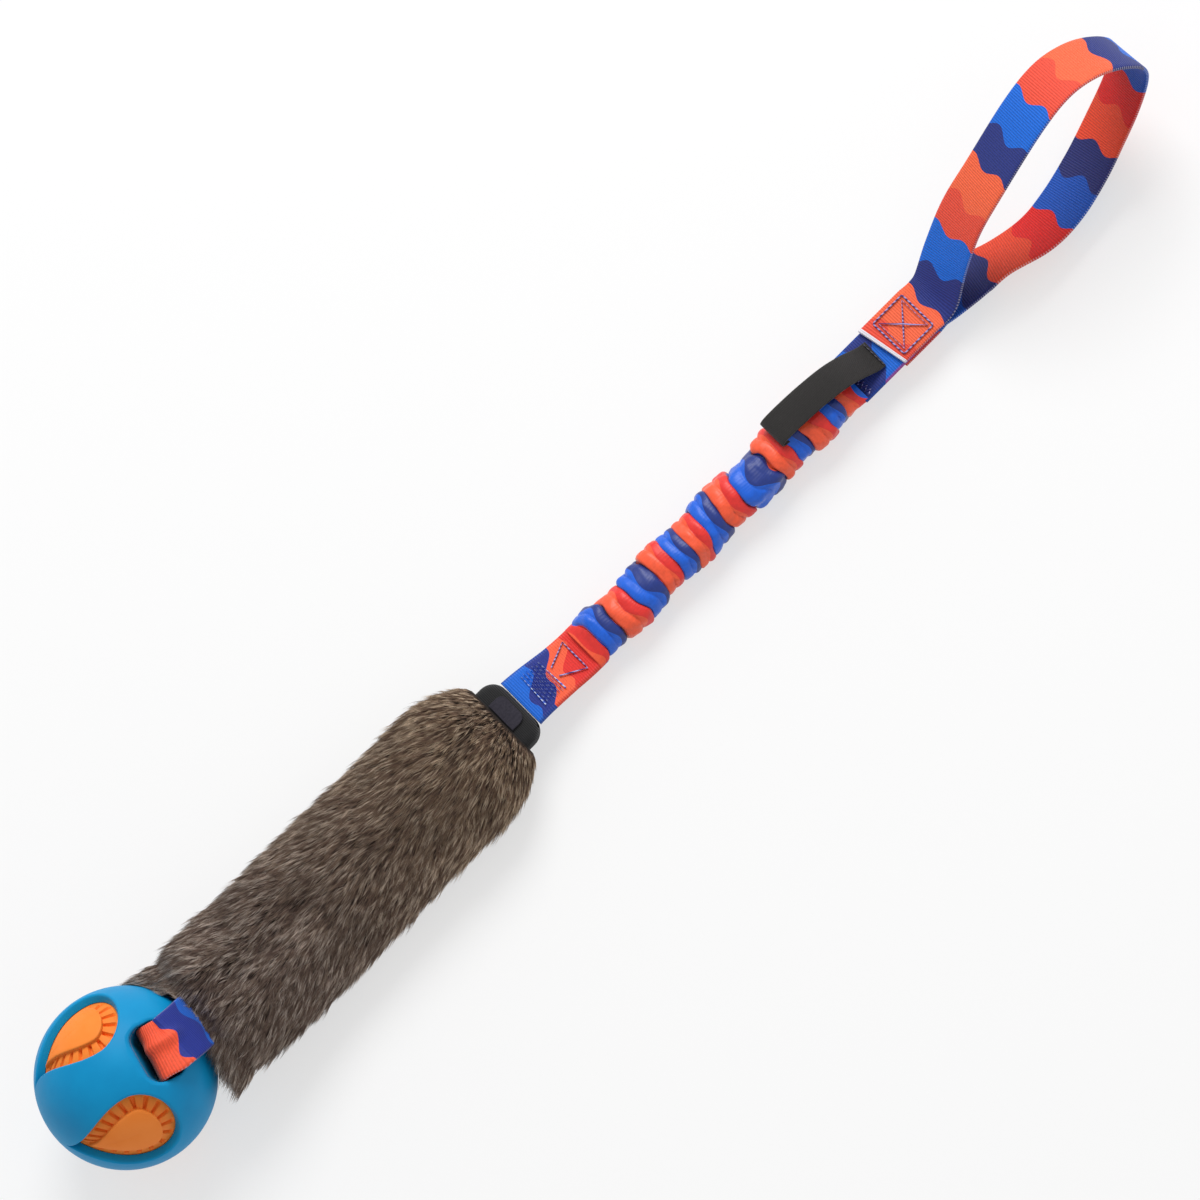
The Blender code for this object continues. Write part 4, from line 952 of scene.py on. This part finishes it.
def makeCollar():
    low, high = [Vector(corner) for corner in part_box("collar_band")]
    shape = bmesh.new()
    bmesh.ops.create_cube(shape, size=1)
    bmesh.ops.scale(shape, vec=high - low, verts=shape.verts)
    bmesh.ops.translate(shape, vec=(low + high) / 2, verts=shape.verts)
    uprights = [edge for edge in shape.edges if abs(edge.verts[0].co.z - edge.verts[1].co.z) > 0.005
                and edge.verts[0].co.x > low.x + collar["cornersFrom"]]
    bmesh.ops.bevel(shape, geom=uprights, offset=collar["corner"], segments=collar["cornerSegments"],
                    affect='EDGES', profile=0.5, material=-1)
    rims = [edge for edge in shape.edges if len(edge.link_faces) == 2
            and edge.calc_face_angle(0) > radians(60)]
    bmesh.ops.bevel(shape, geom=rims, offset=collar["soft"], segments=collar["segments"], affect='EDGES',
                    profile=0.5, material=-1)
    band = finishPiece("collarBand", meshFrom(shape), collarWebbing)
    slot = bmesh.new()
    bmesh.ops.create_cube(slot, size=1)
    bmesh.ops.scale(slot, vec=(collar["slotLength"], collar["slotWidth"], collar["slotHeight"]),
                    verts=slot.verts)
    bmesh.ops.translate(slot, vec=(low + high) / 2, verts=slot.verts)
    cutWith(band, finishPiece("slot", meshFrom(slot), collarWebbing))
    band.data.set_sharp_from_angle(angle=radians(50))
    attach(band, "fur_body")
    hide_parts("collar_band")
    print("collar ready")


# Printed strap between the collar and the bungee
lower = dict(width=0.0258, narrow=0.0236, thickness=0.0033, taper=0.625, inset=0.0017, overlap=0.004,
             steps=40)


def makeLowerStrap():
    low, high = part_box("lower_strap")
    inset, steps = lower["inset"], lower["steps"]
    start, finish = low[0] + inset, high[0] + lower["overlap"]
    topLevel = high[2] - inset
    section = stripSection(1, lower["thickness"], 14)
    rings, lengths = [], []
    for i in range(steps + 1):
        x = start + (finish - start) * i / steps
        share = min(1, (x - start) / (high[0] - start))
        ease = share * share * (3 - 2 * share)
        level = topLevel + (low[2] + inset - topLevel) * ease
        width = lower["width"] + (lower["narrow"] - lower["width"]) * min(1, share / lower["taper"])
        flat = stripSection(width, lower["thickness"], 14)
        rings.append([Vector((x, y, level + z)) for y, z, _ in flat])
        lengths.append(x - start)
    sides = [part[0] * webbing["width"] for part in section]
    strap = loft("lowerStrap", rings, lambda row, column: (sides[column % len(sides)], lengths[row]),
                 lowerWebbing, back=[[part[2] for part in section]] * len(rings))
    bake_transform(strap)
    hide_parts("lower_strap")
    print("lower strap ready")


# Flat elastic inside the ruched sleeve, on the slope of its CAD strip
elastic = dict(width=0.0138, thickness=0.0028, planThickness=0.003, steps=60)


def elasticLevel(x):
    low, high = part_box("elastic_strip")
    half = elastic["planThickness"] / 2
    share = (x - low[0]) / (high[0] - low[0])
    first, last = low[2] + half, high[2] - half
    return first + (last - first) * share


def makeElastic():
    low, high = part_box("elastic_strip")
    places = [low[0] + (high[0] - low[0]) * i / elastic["steps"] for i in range(elastic["steps"] + 1)]
    stations = [((x, 0, elasticLevel(x)), (0, 1, 0)) for x in places]
    strip = ribbon("flatElastic", stations, elastic["width"], elastic["thickness"], elasticBraid)
    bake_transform(strip)
    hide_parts("elastic_strip")
    print("elastic ready")


# Ruched sleeve: a printed tube gathered over the elastic
# the bands end where the photograph shows them, in metres from the ruched end, two folds to each
sleeve = dict(width=0.0202, height=0.0165, flatHeight=0.0074, flatWidth=0.0236, gather=0.012,
              bands=(0.0052, 0.0155, 0.0289, 0.0432, 0.0532, 0.0622, 0.0709, 0.0822, 0.0957, 0.1125, 0.1226,
                     0.1302, 0.1419, 0.1499, 0.1612),
              puff=0.0030, pinch=0.0012, sway=0.0010, roundness=0.86, rows=440, columns=84, wall=0.0006,
              middle=0.62, sways=4.3, wander=0.55, wanderScale=55, shallow=0.36, wrinkle=0.14,
              wrinkleScale=420, lobe=0.5, girth=0.055)


def sleeveFold(place, turn):
    # how full the cloth is at a place (0 in a crease, 1 on a puff), the folds before it, its puff's size
    ends = sleeve["bands"]
    phase = float(np.interp(place, (0, *ends), (-1, *range(0, 2 * len(ends), 2))))
    ring = Vector((place * sleeve["wanderScale"], cos(turn) * 0.8, sin(turn) * 0.8))
    phase += (sleeve["wander"] * noise.noise(ring) + 0.18 * cos(turn + 40 * place)
              + 0.12 * cos(2 * turn + 90 * place))
    # a deep crease at each band's edge, a shallow one inside it, and small wrinkles over both
    shallow = sleeve["shallow"] + 0.3 * noise.noise(Vector((phase // 2 * 5.1, cos(turn), 7.5 + sin(turn))))
    wide, fine = abs(2 * (phase / 2 % 1) - 1), abs(2 * (phase % 1) - 1)
    puff = (1 - wide ** 3) ** 0.5 * (1 - shallow * (1 - (1 - fine ** 2.2) ** 0.5))
    wrinkle = Vector((place * sleeve["wrinkleScale"], cos(turn) * 2.6, sin(turn) * 2.6))
    puff += sleeve["wrinkle"] * noise.noise(wrinkle)
    lobe = noise.noise(Vector((phase // 2 * 3.7, cos(turn) * 1.1, 2.5 + sin(turn) * 1.1)))
    return puff, phase, 1 + sleeve["lobe"] * lobe


def makeSleeve():
    start, finish = nodeEdge("elastic_strip", 0, 0), nodeEdge("elastic_strip", 0, 1)
    length = finish - start
    first, last = elasticLevel(start), elasticLevel(finish)
    rows, columns = sleeve["rows"], sleeve["columns"]
    rings, crests, folds = [], [], []
    for row in range(rows + 1):
        share = row / rows
        x = start + length * share
        edge = min(1, min(x - start, finish - x) / sleeve["gather"])
        rise = edge * edge * (3 - 2 * edge)
        level = first + (last - first) * share
        sway = sleeve["sway"] * sin(2 * pi * share * sleeve["sways"]) * rise
        ring, crest, fold = [], [], []
        for column in range(columns):
            turn = 2 * pi * column / columns
            puff, phase, size = sleeveFold(length * share, turn)
            swell = sleeve["puff"] * rise * (puff * size - sleeve["middle"])
            wide = (sleeve["flatWidth"] + (sleeve["width"] - sleeve["flatWidth"]) * rise) / 2
            high = (sleeve["flatHeight"] + (sleeve["height"] - sleeve["flatHeight"]) * rise) / 2
            y = (wide + swell * (1 + 0.2 * abs(cos(turn)))) * abs(cos(turn)) ** sleeve["roundness"]
            y *= 1 if cos(turn) > 0 else -1
            z = (high + swell) * sin(turn)
            pinch = sleeve["pinch"] * min(1.4, size) * rise * (sin(pi * phase) + 0.3 * sin(2 * pi * phase))
            ring.append(Vector((x - pinch, sway + y, max(0.0002, level + z))))
            # the fullness, which the cloth's material turns into painted shade in the creases
            crest.append(1 + (puff - 1) * rise)
            fold.append(phase)
        rings.append(ring)
        crests.append(crest)
        folds.append(fold)
    tube = loft("ruchedSleeve", rings,
                lambda row, column: (column / columns * sleeve["girth"], rings[row][0].x - start),
                sleeveCloth, capped=False, crest=crests, fold=folds)
    wall = tube.modifiers.new("wall", 'SOLIDIFY')
    wall.thickness = sleeve["wall"]
    wall.offset = -1
    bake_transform(tube)
    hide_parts("bungee_sleeve")
    print("sleeve ready")


# Neck, hand loop and the stitched end that joins them
neck = dict(width=0.0244, thickness=0.0025, under=0.002, steps=40, clothStart=0.012)
# the loop's route is given along, aside and up as shares of reach, sway and rise, with its twist in degrees
loop = dict(axis=(0.18965, 0, 0.012), width=0.025, thickness=0.0017, planThickness=0.0018, gap=0.0003,
            reach=0.1317, rise=0.060, sway=0.011, floorGap=0.0001, slant=0.0022, slantReach=0.012,
            joinGap=0.002, plySteps=12, step=0.0012,
            out=((0.05, 0.03, 0.045, 1), (0.144, 0.40, 0.22, 7), (0.26, 0.68, 0.45, 12),
                 (0.392, 0.75, 0.667, 15), (0.611, 0.94, 0.933, 15), (0.752, 1.02, 1, 16),
                 (0.862, 0.90, 0.933, 17), (0.945, 0.65, 0.79, 18), (0.998, 0.40, 0.59, 20),
                 (0.985, 0.22, 0.42, 20)),
            back=((0.91, 0, 0.27, 18), (0.80, -0.22, 0.08, 16), (0.68, -0.55, -0.03, 16),
                  (0.54, -0.88, -0.08, 18), (0.409, -0.95, -0.09, 24), (0.258, -0.56, -0.09, 30),
                  (0.14, -0.25, -0.07, 14), (0.05, -0.06, -0.03, 0)))


def makeNeck():
    low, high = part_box("upper_strap")
    start, level = low[0] - neck["under"], (low[2] + high[2]) / 2
    stations = [((start + (high[0] - start) * i / neck["steps"], 0, level), (0, 1, 0))
                for i in range(neck["steps"] + 1)]
    strap = ribbon("neckStrap", stations, neck["width"], neck["thickness"], neckWebbing,
                   along=neck["clothStart"])
    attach(strap, "strap_body")
    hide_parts("upper_strap")
    print("neck ready")


def makeLoop():
    # one strap: the top ply, the loop out and back, and the bottom ply
    axis = Vector(loop["axis"])
    ply = (loop["planThickness"] + loop["gap"]) / 2
    halfWidth = loop["width"] / 2
    topLevel = (nodeEdge("handle_end_top", 2, 0) + nodeEdge("handle_end_top", 2, 1)) / 2
    lowLevel = (nodeEdge("handle_end_bottom", 2, 0) + nodeEdge("handle_end_bottom", 2, 1)) / 2
    cutEnd = nodeEdge("handle_end_top", 0, 0) + loop["slant"]
    joinEnd = nodeEdge("handle_end_top", 0, 1)
    route = [(0, 0, ply, 0)]
    route += [(loop["reach"] * r, loop["sway"] * s, ply + loop["rise"] * z, t) for r, s, z, t in loop["out"]]
    route += [(loop["reach"] * r, loop["sway"] * s, loop["rise"] * z - ply, t) for r, s, z, t in loop["back"]]
    route += [(0, 0, -ply, 0)]
    free = []
    for x, y, z, twist in smoothPath(route, 8):
        turn = radians(twist)
        low = halfWidth * abs(sin(turn)) + loop["planThickness"] / 2 * cos(turn) + loop["floorGap"]
        free.append([axis.x + x, y, max(axis.z + z, low), twist])
    steps = loop["plySteps"]
    plyPlaces = [cutEnd + (joinEnd - loop["joinGap"] - cutEnd) * i / steps for i in range(steps + 1)]
    top = [[x, 0, topLevel, 0] for x in plyPlaces]
    bottom = [[x, 0, lowLevel, 0] for x in reversed(plyPlaces)]
    path = evenPath(top + free + bottom, loop["step"])
    stations = [((x, y, z), (0, cos(radians(t)), -sin(radians(t)))) for x, y, z, t in path]
    strap = ribbon("handLoop", stations, loop["width"], loop["thickness"], loopWebbing, count=14)
    for vertex in strap.data.vertices:
        # both ends are cut on the same slant
        near = max(0, 1 - (vertex.co.x - cutEnd) / loop["slantReach"])
        vertex.co.x -= loop["slant"] * vertex.co.y / halfWidth * near
    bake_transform(strap)
    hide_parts("handle_loop", "handle_end_top", "handle_end_bottom")
    print("loop ready")


# Label: a folded tape, sewn at one end, with a rounded fold at the other
label = dict(axis=(0.15895, 0, 0.01415), step=0.0009, crown=0.0007, length=0.0555,
             rise=0.0112, sway=0.0042, width=0.0145, thickness=0.0011,
             path=((0, 0, 0), (0.08, 0.12, 0.08), (0.22, 0.62, 0.30), (0.38, 0.97, 0.52), (0.6, 1.05, 0.78),
                   (0.8, 1.03, 0.94), (0.94, 1.0, 0.98), (1, 0.87, 1), (1, 0.70, 1), (0.95, 0.58, 1)))


def makeLabel():
    axis = Vector(label["axis"])
    points = [(axis.x - label["length"] * r, label["sway"] * s, axis.z + label["rise"] * z)
              for r, z, s in label["path"]]
    path = evenPath(smoothPath(points, 10), label["step"])

    def crown(i, y):
        # the tape is a little crowned across its width, most at the middle of its length
        share = i / len(path)
        return -label["crown"] * cos(pi * y / label["width"]) * sin(pi * min(1, share * 1.05))
    strip = ribbon("labelTape", [(place, (0, 1, 0)) for place in path], label["width"],
                   label["thickness"], labelTape, dip=crown)
    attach(strip, "label_body")
    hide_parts("label_tab")
    print("label ready")


# CAD pieces whose shape is right get their finish here
carried = dict(core_strap=innerWebbing, collar_tongue=tongueFelt, lower_zigzag_stitch=lightThread,
               lower_bar_stitch=darkThread, handle_box_stitch=darkThread, handle_cross_stitch=darkThread,
               sleeve_tack=darkThread, label_tack=blackThread)


def finishCarried():
    for node, material in carried.items():
        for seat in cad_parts[node].material_slots:
            seat.material = material
    print("carried pieces ready")


# Studio: a pale floor that keeps the object's shadow, one soft key light and an even surround
studio = dict(floorSize=12, floorColour="#F4F4F4", floorGlow=0.62, key=50, keySize=1.5,
              keyPlace=(1.1, 1.3, 1.95), surround=0.5)


def backgroundRays(owner):
    # 1 for the rays that see the background, directly, in a gloss or through something clear
    rays = addNode(owner, "LightPath").outputs
    seen = addNode(owner, "Math", {0: rays["Is Camera Ray"], 1: rays["Is Glossy Ray"]}, operation='MAXIMUM')
    return addNode(owner, "Math", {0: seen, 1: rays["Is Transmission Ray"]}, operation='MAXIMUM')


def makeStudio():
    shape = bmesh.new()
    bmesh.ops.create_grid(shape, x_segments=1, y_segments=1, size=studio["floorSize"] / 2)
    material, shader = newMaterial("paintedStudioFloor", Roughness=0.9)
    shader.inputs["Base Color"].default_value = hexColour(studio["floorColour"])
    share = addNode(material, "Math", {0: backgroundRays(material), 1: studio["floorGlow"]},
                    operation='MULTIPLY')
    glow = addNode(material, "Emission", {"Color": (1, 1, 1, 1), "Strength": 1.0})
    mixed = addNode(material, "MixShader", {0: share, 1: shader, 2: glow})
    link(material, mixed, material.node_tree.nodes["Material Output"], "Surface")
    floor = finishPiece("studioFloor", meshFrom(shape), material, smooth=False)

    world = bpy.data.worlds.new("surround")
    world.use_nodes = True
    scene.world = world
    background = world.node_tree.nodes["Background"]
    background.inputs["Color"].default_value = (1, 1, 1, 1)
    strength = addNode(world, "MapRange", {0: backgroundRays(world), 3: studio["surround"], 4: 1})
    link(world, strength, background, "Strength")

    lamp = bpy.data.lights.new("keyLight", 'AREA')
    lamp.shape = 'DISK'
    lamp.size = studio["keySize"]
    lamp.energy = studio["key"]
    key = bpy.data.objects.new("keyLight", lamp)
    key.location = studio["keyPlace"]
    key.rotation_euler = (-Vector(studio["keyPlace"])).to_track_quat('-Z', 'Y').to_euler()
    scene.collection.objects.link(key)
    scene.view_settings.view_transform = 'Standard'
    print("studio ready")


addCamera()
makeStudio()
makeBall()
makeTether()
makeHide()
makeHair()
makeCollar()
makeLowerStrap()
makeElastic()
makeSleeve()
makeNeck()
makeLoop()
makeLabel()
finishCarried()
